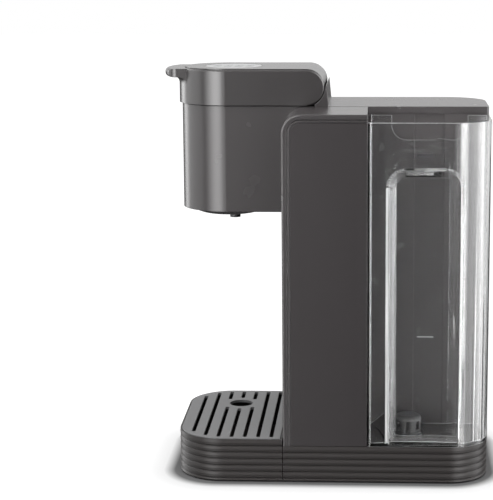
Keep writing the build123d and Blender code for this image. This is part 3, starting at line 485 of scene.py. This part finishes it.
@dataclass(frozen=True)
class CircuitBoard:
    """Solder-masked board with faint tracks under the mask."""

    name: str
    colour: Colour
    track: float = 1.2 * MM
    tracks_across: float = 8.0
    dark_share: float = 0.8
    track_share: float = 1.8
    roughness: float = 0.35

    def material(self) -> bpy.types.Material:
        """Builds the finish's material.

        Returns:
            The new material.
        """
        material, graph = new_material(self.name)
        cells = graph.add(
            "TexBrick",
            Vector=graph.place(),
            Scale=1.0 / (self.track * self.tracks_across),
            Color1=(*self.colour, 1.0),
            Color2=(*scaled(self.colour, self.dark_share), 1.0),
            Mortar=(*scaled(self.colour, self.track_share), 1.0),
        )
        shader = graph.add("BsdfPrincipled", Base_Color=cells.outputs[0], Roughness=self.roughness)
        graph.finish(shader)
        return material


class Finish(Enum):
    """The finishes that the machine's pieces have."""

    SHELL = MouldedPlastic("shell_plastic", (0.061, 0.0552, 0.0564), roughness=0.27, edge=0.8 * MM)
    PANEL = MouldedPlastic("panel_plastic", (0.031, 0.0264, 0.0276), roughness=0.28)
    LID = MouldedPlastic("lid_plastic", (0.047, 0.0425, 0.0432), roughness=0.24, gloss=0.6)
    RIBBED = MouldedPlastic("ribbed_plastic", (0.0205, 0.0175, 0.017), roughness=0.4, gloss=0.25)
    GRATE = MouldedPlastic("grate_plastic", (0.17, 0.169, 0.173), roughness=0.42)
    CONTROL = MouldedPlastic("control_silver", (0.47, 0.475, 0.48), roughness=0.28, mottle=0.03)
    KEY = MouldedPlastic("key_silver", (0.42, 0.424, 0.43), roughness=0.32, mottle=0.03)
    INK = MouldedPlastic("key_ink", (0.02, 0.02, 0.022), roughness=0.5)
    MARK = MouldedPlastic("level_mark", (0.45, 0.45, 0.46), roughness=0.5)
    INNER = MouldedPlastic("inner_plastic", (0.018, 0.018, 0.019), roughness=0.45)
    MESH = MouldedPlastic("filter_plastic", (0.02, 0.02, 0.021), roughness=0.45)
    CLEAR = ClearPlastic("clear_plastic", (0.965, 0.97, 0.972), haze=0.004)
    RUBBER = SoftRubber("black_rubber", (0.02, 0.02, 0.02))
    SILICONE = SoftRubber("white_silicone", (0.62, 0.61, 0.57), roughness=0.5, see_through=0.3)
    STEEL = BrushedSteel("brushed_steel", (0.62, 0.62, 0.63))
    BOARD = CircuitBoard("circuit_board", (0.01, 0.09, 0.03))


class FinishShelf:
    """Keeps one material for each finish."""

    def __init__(self) -> None:
        """Starts with no material made."""
        self.made: dict[Finish, bpy.types.Material] = {}

    def take(self, finish: Finish) -> bpy.types.Material:
        """Gives the finish's material, made the first time it is asked for.

        Args:
            finish: The finish to make.

        Returns:
            The finish's material.
        """
        if finish not in self.made:
            self.made[finish] = finish.value.material()
        return self.made[finish]


@dataclass
class SubAssembly:
    """A group of the machine's nodes that is dressed together."""

    frame: dict
    shelf: FinishShelf

    def dress(self, node: str, finish: Finish) -> None:
        """Gives a node its finish.

        Args:
            node: The node's name.
            finish: The finish that covers the whole node.
        """
        mesh = self.frame["nodes"][node].data
        mesh.materials.clear()
        mesh.materials.append(self.shelf.take(finish))
        LOG.info("dressed %s with %s", node, finish.value.name)

    def dress_all(self, finishes: dict[str, Finish]) -> None:
        """Gives several nodes their finishes."""
        for node, finish in finishes.items():
            self.dress(node, finish)

    def add_piece(self, name: str, mesh: bmesh.types.BMesh, finish: Finish, body: str,
                  slot: str) -> bpy.types.Object:
        """Makes a piece of a finished mesh and sets it on its body.

        Args:
            name: The piece's name.
            mesh: The mesh, in the machine's frame.
            finish: The piece's finish.
            body: The body that it rides on.
            slot: The record's slot of its finish. Not used.

        Returns:
            The new piece.
        """
        data = bpy.data.meshes.new(name)
        bmesh.ops.recalc_face_normals(mesh, faces=mesh.faces)
        mesh.to_mesh(data)
        mesh.free()
        data.materials.append(self.shelf.take(finish))
        piece = bpy.data.objects.new(name, data)
        bpy.context.scene.collection.objects.link(piece)
        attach(piece, body)
        LOG.info("built %s on %s", name, body)
        return piece


def raise_outline(mesh: bmesh.types.BMesh, outline: list[Point2], plane: Plane, level: float,
                  thick: float) -> None:
    """Adds a flat plate of an outline to a mesh.

    Args:
        mesh: The mesh that the plate goes into.
        outline: The outline's points in order.
        plane: The plane of the outline.
        level: Where the plate's lower face lies off the plane.
        thick: The plate's thickness.
    """
    low = [mesh.verts.new(plane.place(u, v, level)) for u, v in outline]
    high = [mesh.verts.new(plane.place(u, v, level + thick)) for u, v in outline]
    mesh.faces.new(low)
    mesh.faces.new(list(reversed(high)))
    for i in range(len(outline)):
        j = (i + 1) % len(outline)
        mesh.faces.new((low[i], high[i], high[j], low[j]))


def raise_band(mesh: bmesh.types.BMesh, inner: list[Point2], outer: list[Point2], closed: bool,
               plane: Plane, level: float, thick: float) -> None:
    """Adds a flat band between two lines of as many points to a mesh.

    Args:
        mesh: The mesh that the band goes into.
        inner: The points of the band's inner line.
        outer: The points of the band's outer line.
        closed: Whether the last point joins the first.
        plane: The plane of the band.
        level: Where the band's lower face lies off the plane.
        thick: The band's thickness.
    """
    count = len(inner)
    for i in range(count if closed else count - 1):
        j = (i + 1) % count
        raise_outline(mesh, [inner[i], outer[i], outer[j], inner[j]], plane, level, thick)
    bmesh.ops.remove_doubles(mesh, verts=mesh.verts, dist=POINT_GAP)


def arc(centre: Point2, radius: float, start: float, end: float, steps: int) -> list[Point2]:
    """Gives the points of an arc of so many steps between two angles in degrees."""
    turns = [math.radians(start + (end - start) * i / steps) for i in range(steps + 1)]
    return [(centre[0] + radius * math.cos(a), centre[1] + radius * math.sin(a)) for a in turns]


def bar(centre: Point2, width: float, height: float) -> list[Point2]:
    """Gives the corners of an upright rectangle.

    Args:
        centre: The rectangle's middle.
        width: Its size along the plane's first axis.
        height: Its size along the plane's second axis.

    Returns:
        The four corners in order.
    """
    u, v = centre
    return [(u - width / 2, v - height / 2), (u + width / 2, v - height / 2),
            (u + width / 2, v + height / 2), (u - width / 2, v + height / 2)]


@dataclass
class Base(SubAssembly):
    """The ribbed base with its plate, feet and screws."""

    def build(self) -> None:
        """Dresses the base's nodes."""
        self.dress_all({
            "base_housing": Finish.RIBBED, "base_plate": Finish.INNER, "rubber_feet": Finish.RUBBER,
            "housing_screws": Finish.STEEL, "tank_socket": Finish.INNER,
            "socket_seal": Finish.SILICONE, "cord_gland": Finish.RUBBER,
        })


@dataclass
class DripTray(SubAssembly):
    """The ribbed tray with its grate."""

    def build(self) -> None:
        """Dresses the tray's nodes."""
        self.dress_all({
            "drip_tray": Finish.RIBBED, "tray_feet": Finish.RUBBER, "drip_grate": Finish.GRATE,
        })


@dataclass
class Tower(SubAssembly):
    """The front casing, the core behind it and the deck on top."""

    def build(self) -> None:
        """Dresses the tower's and the core's nodes."""
        self.dress_all({
            "tower_housing": Finish.SHELL, "side_panel": Finish.PANEL, "core_housing": Finish.SHELL,
            "rear_cover": Finish.SHELL, "top_deck": Finish.SHELL,
        })


@dataclass
class BrewHead(SubAssembly):
    """The head's shell with its underside, nozzle and pod holder."""

    def build(self) -> None:
        """Dresses the head's nodes."""
        self.dress_all({
            "head_housing": Finish.SHELL, "head_underside": Finish.SHELL, "brew_nozzle": Finish.INNER,
            "pod_holder": Finish.INNER, "exit_needle": Finish.STEEL, "hinge_pins": Finish.STEEL,
            "lid_switch": Finish.INNER,
        })


@dataclass
class Lid(SubAssembly):
    """The lid with its control disc and keys. The power ring's gap is half its opening in degrees."""

    mark_thick: float = 0.06 * MM
    mark_line: float = 0.45 * MM
    ring_radius: float = 1.45 * MM
    ring_gap: float = 38.0
    ring_steps: int = 28
    bar_place: float = 0.7
    bar_length: float = 1.1
    cup_heights: tuple[float, float, float] = (1.6 * MM, 2.4 * MM, 3.2 * MM)
    cup_width: float = 0.8
    cup_taper: float = 1.3
    key_names: tuple[str, ...] = ("size_button_small", "size_button_medium", "size_button_large")

    def build(self) -> None:
        """Dresses the lid's nodes and marks its keys."""
        self.dress_all({
            "lid_shell": Finish.LID, "lid_top_plate": Finish.LID, "control_disc": Finish.CONTROL,
            "button_board": Finish.BOARD, "lid_inner_cover": Finish.INNER,
            "pod_seal": Finish.SILICONE, "inlet_needle": Finish.STEEL, "lid_tube": Finish.SILICONE,
            "power_button": Finish.KEY, "size_button_small": Finish.KEY,
            "size_button_medium": Finish.KEY, "size_button_large": Finish.KEY,
        })
        self.mark_power()
        for name, height in zip(self.key_names, self.cup_heights):
            self.mark_cup(name, height)

    def key_top(self, node: str) -> tuple[Point2, float]:
        """Gives the middle of a key's top face, and the level where a mark is printed on it."""
        low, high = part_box(node)
        return ((low.x + high.x) / 2, (low.y + high.y) / 2), high.z - self.mark_thick / 2

    def mark_power(self) -> None:
        """Prints the open ring and bar of a power sign on its key."""
        centre, level = self.key_top("power_button")
        mesh = bmesh.new()
        start, end = self.ring_gap, 360.0 - self.ring_gap
        inner = arc(centre, self.ring_radius - self.mark_line, start, end, self.ring_steps)
        outer = arc(centre, self.ring_radius, start, end, self.ring_steps)
        raise_band(mesh, inner, outer, False, Plane.TOP, level, self.mark_thick)
        middle = (centre[0] + self.ring_radius * self.bar_place, centre[1])
        stroke = bar(middle, self.ring_radius * self.bar_length, self.mark_line)
        raise_outline(mesh, stroke, Plane.TOP, level, self.mark_thick)
        self.add_piece("power_mark", mesh, Finish.INK, "power_button", "button")

    def mark_cup(self, node: str, height: float) -> None:
        """Prints a cup of the key's size on it.

        Args:
            node: The key's node, which is its body too.
            height: The height of the drawn cup.
        """
        (x, y), level = self.key_top(node)
        mesh = bmesh.new()
        foot, rim = x - height / 2, x + height / 2
        wide = height * self.cup_width / 2
        low = wide / self.cup_taper
        line = self.mark_line
        inner = [(foot + line, y - low + line), (foot + line, y + low - line),
                 (rim, y + wide - line), (rim, y - wide + line)]
        outer = [(foot, y - low), (foot, y + low), (rim, y + wide), (rim, y - wide)]
        raise_band(mesh, inner, outer, True, Plane.TOP, level, self.mark_thick)
        self.add_piece(node.replace("button", "mark"), mesh, Finish.INK, node, "button")


@dataclass
class Reservoir(SubAssembly):
    """The clear tank with its valve and level marks. Its angles are degrees."""

    clear_nodes: tuple[str, ...] = ("reservoir_tank", "reservoir_pocket", "reservoir_floor")
    edge_radius: float = 0.6 * MM
    edge_steps: int = 3
    copy_gap: float = 0.001 * MM
    join_gap: float = 0.002 * MM
    flat_angle: float = 0.5
    flat_weight: int = 100
    sharp_angle: float = 25.0
    wall: float = 2.5 * MM
    pocket_depth: float = 7.0 * MM
    mark_thick: float = 0.12 * MM
    mark_line: float = 0.55 * MM
    full_y: float = 81.0 * MM
    full_z: float = 263.5 * MM
    full_width: float = 13.0 * MM
    low_y: float = 81.4 * MM
    low_z: float = 118.6 * MM
    low_width: float = 13.0 * MM

    def build(self) -> None:
        """Dresses the tank and adds its two level marks."""
        self.dress_all({
            "reservoir_tank": Finish.CLEAR, "reservoir_pocket": Finish.CLEAR,
            "reservoir_floor": Finish.CLEAR, "tank_valve_body": Finish.MESH,
            "tank_filter": Finish.MESH, "valve_spring": Finish.STEEL, "valve_poppet": Finish.INNER,
        })
        self.weld_clear()
        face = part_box("reservoir_tank")[1].x
        self.mark_level("full_mark", face - self.wall - self.mark_thick, self.full_y, self.full_z,
                        self.full_width)
        self.mark_level("low_mark", face - self.pocket_depth, self.low_y, self.low_z, self.low_width)

    def loose_copy(self, node: str) -> bpy.types.Object:
        """Copies a node's shape into an object of its own, with its points joined.

        Args:
            node: The node's name.

        Returns:
            The object, which isn't a piece and is taken away again.
        """
        mesh = bmesh.new()
        mesh.from_mesh(self.frame["nodes"][node].data)
        bmesh.ops.remove_doubles(mesh, verts=mesh.verts, dist=self.copy_gap)
        data = bpy.data.meshes.new(node + "_copy")
        mesh.to_mesh(data)
        mesh.free()
        copy = bpy.data.objects.new(node + "_copy", data)
        bpy.context.scene.collection.objects.link(copy)
        return copy

    def weld_clear(self) -> None:
        """Welds the clear walls, pocket and floor into one piece with softly rounded edges."""
        whole, *others = [self.loose_copy(node) for node in self.clear_nodes]
        for other in others:
            union = whole.modifiers.new("weld", "BOOLEAN")
            union.operation = "UNION"
            union.solver = "EXACT"
            union.object = other
        joined = whole.evaluated_get(bpy.context.evaluated_depsgraph_get())
        mesh = bmesh.new()
        mesh.from_mesh(joined.to_mesh())
        joined.to_mesh_clear()
        for copy in (whole, *others):
            bpy.data.meshes.remove(copy.data)
        bmesh.ops.remove_doubles(mesh, verts=mesh.verts, dist=self.join_gap)
        bmesh.ops.dissolve_limit(mesh, angle_limit=math.radians(self.flat_angle), verts=mesh.verts,
                                 edges=mesh.edges)
        for face in mesh.faces:
            face.smooth = True
        piece = self.add_piece("clear_tank", mesh, Finish.CLEAR, "reservoir", "clear")
        piece.data.set_sharp_from_angle(angle=math.radians(self.sharp_angle))
        rounded = piece.modifiers.new("rounded_edges", "BEVEL")
        rounded.limit_method = "ANGLE"
        rounded.angle_limit = math.radians(self.sharp_angle)
        rounded.width = self.edge_radius
        rounded.segments = self.edge_steps
        flat = piece.modifiers.new("flat_faces", "WEIGHTED_NORMAL")
        flat.mode = "FACE_AREA"
        flat.weight = self.flat_weight
        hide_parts(*self.clear_nodes)

    def mark_level(self, name: str, level: float, y: float, z: float, width: float) -> None:
        """Adds a raised tick line.

        Args:
            name: The mark's name.
            level: Where the mark's inner face lies along X.
            y: The middle of the line.
            z: The height of the line.
            width: The line's length.
        """
        mesh = bmesh.new()
        raise_outline(mesh, bar((y, z), width, self.mark_line), Plane.SIDE, level, self.mark_thick)
        self.add_piece(name, mesh, Finish.MARK, "reservoir", "mesh")


@dataclass
class WaterWorks(SubAssembly):
    """The pump, boiler, hoses and boards inside the casings."""

    def build(self) -> None:
        """Dresses the inner nodes."""
        self.dress_all({
            "inlet_hose": Finish.SILICONE, "water_pump": Finish.INNER, "pump_mount": Finish.RUBBER,
            "pump_hose": Finish.SILICONE, "boiler": Finish.STEEL, "boiler_stand": Finish.INNER,
            "heating_element": Finish.STEEL, "thermostat": Finish.STEEL,
            "brew_hose": Finish.SILICONE, "power_board": Finish.BOARD,
        })


@dataclass(frozen=True)
class SoftBox:
    """A large studio lamp that faces the machine."""

    name: str
    place: Point3
    aim: Point3
    width: float
    height: float
    radiance: float

    def build(self) -> None:
        """Hangs the lamp. Its power gives the radiance that it is asked for."""
        lamp = bpy.data.lights.new(self.name, "AREA")
        lamp.shape = "RECTANGLE"
        lamp.size = self.width
        lamp.size_y = self.height
        lamp.energy = self.radiance * math.pi * self.width * self.height
        holder = bpy.data.objects.new(self.name, lamp)
        bpy.context.scene.collection.objects.link(holder)
        holder.location = self.place
        direction = Vector(self.aim) - Vector(self.place)
        holder.rotation_euler = direction.to_track_quat("-Z", "Y").to_euler()
        holder.visible_camera = False
        holder.visible_glossy = False
        holder.visible_transmission = False


@dataclass(frozen=True)
class BrightBand:
    """An upright bright stretch of the studio's walls, which shows in gloss and clear plastic.

    Its start, end and fades are degrees of the turn from the reservoir's side towards the rear.
    """

    start: float
    end: float
    level: float
    fade_in: float = 5.0
    fade_out: float = 5.0

    def strength(self, graph: NodeGraph, turn: bpy.types.NodeSocket) -> bpy.types.NodeSocket:
        """Gives the band's brightness for a direction.

        Args:
            graph: The world's graph.
            turn: The direction in degrees from the reservoir's side towards the rear.

        Returns:
            The brightness, which falls to nothing past the band's two edges.
        """
        rise = graph.add("MapRange", Value=turn, From_Min=self.start - self.fade_in,
                         From_Max=self.start + self.fade_in, To_Min=0.0, To_Max=self.level)
        drop = graph.add("MapRange", Value=turn, From_Min=self.end - self.fade_out,
                         From_Max=self.end + self.fade_out, To_Min=1.0, To_Max=0.0)
        return graph.math("MULTIPLY", rise.outputs[0], drop.outputs[0])


@dataclass
class Studio:
    """The pale floor, the white surroundings and the lamps.

    The band, deep, low and under limits are heights on the surroundings, from -1 straight down to
    1 straight up. The dark wall's limits run from -1 on the left side to 1 on the reservoir's side.
    """

    floor_size: float = 12.0
    floor_colour: Colour = (0.25, 0.25, 0.252)
    floor_roughness: float = 0.9
    floor_mottle: float = 0.01
    floor_patch: float = 400.0 * MM
    floor_detail: float = 2.0
    footprint: tuple[str, str] = ("drip_tray", "base_housing")
    corner_radius: float = 33.5 * MM
    shadow_start: float = 4.0 * MM
    shadow_end: float = 13.5 * MM
    shadow_lift: float = 0.72
    white_reach: float = 45.0 * MM
    sky_light: float = 0.5
    wall_dark: float = 0.08
    wall_light: float = 0.95
    dark_from: float = 0.25
    dark_full: float = 0.65
    band_top: float = 0.55
    band_end: float = 0.85
    band_foot: float = 0.5
    deep_from: float = -0.85
    deep_full: float = -0.45
    deep_share: float = 0.1
    low_from: float = -0.36
    low_full: float = -0.12
    under_from: float = -0.08
    under_share: float = 0.1
    lamps: tuple[SoftBox, ...] = (
        SoftBox("key_box", place=(0.9, -1.1, 1.2), aim=(0.0, 0.0, 0.16), width=0.8, height=0.8,
                radiance=1.8),
        SoftBox("top_box", place=(0.1, 0.0, 1.5), aim=(0.0, 0.0, 0.0), width=1.5, height=1.5,
                radiance=1.2),
        SoftBox("side_box", place=(1.3, 0.5, 1.2), aim=(0.0, 0.0, 0.15), width=0.8, height=0.8,
                radiance=0.9),
    )
    bands: tuple[BrightBand, ...] = (
        BrightBand(start=-44.0, end=-13.0, level=9.8, fade_in=13.0, fade_out=4.0),
        BrightBand(start=-112.0, end=-62.0, level=2.2),
        BrightBand(start=-138.0, end=-117.0, level=4.4),
        BrightBand(start=12.0, end=26.0, level=2.0, fade_in=8.0, fade_out=8.0),
        BrightBand(start=26.0, end=46.0, level=12.0),
        BrightBand(start=46.0, end=88.0, level=3.5),
        BrightBand(start=88.0, end=112.0, level=6.0),
    )

    def build(self) -> None:
        """Builds the floor, the world and the lamps."""
        self.lay_floor()
        self.paint_world()
        for lamp in self.lamps:
            lamp.build()
        bpy.context.scene.view_settings.view_transform = "Standard"
        LOG.info("built the studio with %d lamps", len(self.lamps))

    def lay_floor(self) -> None:
        """Lays the floor, which shows the machine's shadow, a painted contact shadow round its
        footprint, and whitens away from it.
        """
        mesh = bmesh.new()
        reach = self.floor_size / 2
        mesh.faces.new([mesh.verts.new((x, y, 0.0)) for x, y in
                        ((-reach, -reach), (reach, -reach), (reach, reach), (-reach, reach))])
        data = bpy.data.meshes.new("floor")
        mesh.to_mesh(data)
        mesh.free()
        data.materials.append(self.floor_material())
        floor = bpy.data.objects.new("floor", data)
        bpy.context.scene.collection.objects.link(floor)

    def glow_round_painted_shadow(self, graph: NodeGraph) -> bpy.types.NodeSocket:
        """Gives how much the floor is whitened, from none under the machine to all away from it; holding
        it back near the footprint paints a contact shadow there.

        Args:
            graph: The floor's graph.

        Returns:
            The share's socket. It rises with the distance from the round-cornered footprint.
        """
        place = graph.add("SeparateXYZ", Vector=graph.place())
        boxes = [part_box(node) for node in self.footprint]
        squares = []
        for axis in range(2):
            low = min(box[0][axis] for box in boxes)
            high = max(box[1][axis] for box in boxes)
            offset = graph.math("SUBTRACT", place.outputs[axis], (low + high) / 2)
            offset = graph.math("ABSOLUTE", offset)
            past = graph.math("SUBTRACT", offset, (high - low) / 2 - self.corner_radius)
            past = graph.math("MAXIMUM", past, 0.0)
            squares.append(graph.math("MULTIPLY", past, past))
        reach = graph.math("SQRT", graph.math("ADD", *squares))
        apart = graph.math("SUBTRACT", reach, self.corner_radius)
        # Painted shadow: close to the footprint the glow is held back whatever the lamps do, so the
        # floor shows dark there.
        near = graph.add("MapRange", Value=apart, From_Min=self.shadow_start, From_Max=self.shadow_end,
                         To_Min=0.0, To_Max=self.shadow_lift)
        far = graph.add("MapRange", Value=apart, From_Min=self.shadow_end, From_Max=self.white_reach,
                        To_Min=0.0, To_Max=1.0 - self.shadow_lift)
        return graph.math("ADD", near.outputs[0], far.outputs[0])

    def floor_material(self) -> bpy.types.Material:
        """Builds the floor's material, which gloss and clear plastic look through.

        Returns:
            The new material.
        """
        material, graph = new_material("floor_white")
        path = graph.tree.nodes.new("ShaderNodeLightPath")
        cloud = graph.noise(self.floor_patch, self.floor_detail)
        glow = graph.math("MULTIPLY", path.outputs["Is Camera Ray"], self.glow_round_painted_shadow(graph))
        shader = graph.add(
            "BsdfPrincipled",
            Base_Color=graph.tint(cloud, scaled(self.floor_colour, 1 - self.floor_mottle),
                                  self.floor_colour),
            Roughness=self.floor_roughness,
            Specular_IOR_Level=0.0,
            Emission_Color=WHITE,
            Emission_Strength=glow,
        )
        passed = graph.tree.nodes.new("ShaderNodeBsdfTransparent")
        through = graph.math("MAXIMUM", path.outputs["Is Glossy Ray"],
                             path.outputs["Is Transmission Ray"])
        graph.finish(graph.blend(through, shader, passed))
        return material

    def bright_part(self, graph: NodeGraph, turn: bpy.types.NodeSocket,
                    up: bpy.types.NodeSocket) -> bpy.types.NodeSocket:
        """Gives the bands' brightness, which fades upwards and downwards.

        Args:
            graph: The world's graph.
            turn: The direction in degrees from the reservoir's side towards the rear.
            up: The direction's rise, from -1 straight down to 1 straight up.

        Returns:
            The brightness.
        """
        bright = self.bands[0].strength(graph, turn)
        for band in self.bands[1:]:
            bright = graph.math("ADD", bright, band.strength(graph, turn))
        fades = ((self.band_top, self.band_end, 1.0, 0.0),
                 (self.low_from, self.low_full, self.band_foot, 1.0),
                 (self.deep_from, self.deep_full, self.deep_share, 1.0))
        for start, end, first, last in fades:
            fade = graph.add("MapRange", Value=up, From_Min=start, From_Max=end,
                             To_Min=first, To_Max=last)
            bright = graph.math("MULTIPLY", bright, fade.outputs[0])
        return bright

    def paint_world(self) -> None:
        """Paints white surroundings, whose image in gloss is dark in front of the reservoir's side."""
        world = bpy.data.worlds.new("studio_world")
        world.use_nodes = True
        graph = NodeGraph(world.node_tree)
        coordinates = graph.tree.nodes.new("ShaderNodeTexCoord")
        apart = graph.add("SeparateXYZ", Vector=coordinates.outputs["Generated"])
        across, along, up = apart.outputs
        wall = graph.add("MapRange", Value=across, From_Min=self.dark_from, From_Max=self.dark_full,
                         To_Min=self.wall_light, To_Max=self.wall_dark)
        turn = graph.math("MULTIPLY", graph.math("ARCTAN2", along, across), 180.0 / math.pi)
        bright = self.bright_part(graph, turn, up)
        under = graph.add("MapRange", Value=up, From_Min=self.under_from, From_Max=0.0,
                          To_Min=self.under_share, To_Max=1.0)
        path = graph.tree.nodes.new("ShaderNodeLightPath")
        share = graph.math("MAXIMUM", under.outputs[0], path.outputs["Is Transmission Ray"])
        mirrored = graph.math("ADD", graph.math("MULTIPLY", wall.outputs[0], share), bright)
        through = graph.math("MAXIMUM", path.outputs["Is Glossy Ray"],
                             path.outputs["Is Transmission Ray"])
        image = graph.backdrop(mirrored)
        light = graph.backdrop(self.sky_light)
        first = graph.blend(through, light, image)
        second = graph.blend(path.outputs["Is Camera Ray"], first, graph.backdrop(1.0))
        output = graph.tree.nodes.new("ShaderNodeOutputWorld")
        graph.tree.links.new(second.outputs[0], output.inputs["Surface"])
        bpy.context.scene.world = world


@dataclass
class PhotoCamera:
    """The camera at the photograph's place, found from the picture's own lines.

    Width, height, focal length and middle are pixels of the photograph, and turns are radians.
    """

    width: float = 493.0
    height: float = 500.0
    focal: float = 1651.5
    place: Point3 = (1336.5 * MM, 45.44 * MM, 430.4 * MM)
    yaw: float = 0.0451
    pitch: float = 0.1701
    roll: float = -0.0034
    middle: Point2 = (306.5, 220.0)
    sensor: float = 36.0
    nearest: float = 50.0 * MM
    farthest: float = 50.0

    def build(self) -> None:
        """Sets the camera up and makes it the scene's."""
        data = bpy.data.cameras.new("photo_camera")
        long_side = max(self.width, self.height)
        data.sensor_width = self.sensor
        data.lens = self.focal * self.sensor / long_side
        data.shift_x = (self.width / 2 - self.middle[0]) / long_side
        data.shift_y = (self.middle[1] - self.height / 2) / long_side
        data.clip_start = self.nearest
        data.clip_end = self.farthest
        camera = bpy.data.objects.new("photo_camera", data)
        bpy.context.scene.collection.objects.link(camera)
        forward = Vector((-math.cos(self.yaw) * math.cos(self.pitch),
                          -math.sin(self.yaw) * math.cos(self.pitch), -math.sin(self.pitch)))
        turn = forward.to_track_quat("-Z", "Y").to_matrix()
        turn = turn @ Matrix.Rotation(self.roll, 3, "Z")
        camera.matrix_world = Matrix.Translation(self.place) @ turn.to_4x4()
        bpy.context.scene.camera = camera
        LOG.info("set the camera with a lens of %.1f", data.lens)


def main() -> None:
    """Builds the dressed machine, its studio and its camera."""
    logging.basicConfig(level=logging.INFO, format="%(name)s: %(message)s")
    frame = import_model()
    shelf = FinishShelf()
    for part in (Base, DripTray, Tower, BrewHead, Lid, Reservoir, WaterWorks):
        part(frame, shelf).build()
    Studio().build()
    PhotoCamera().build()


if __name__ == "__main__":
    main()
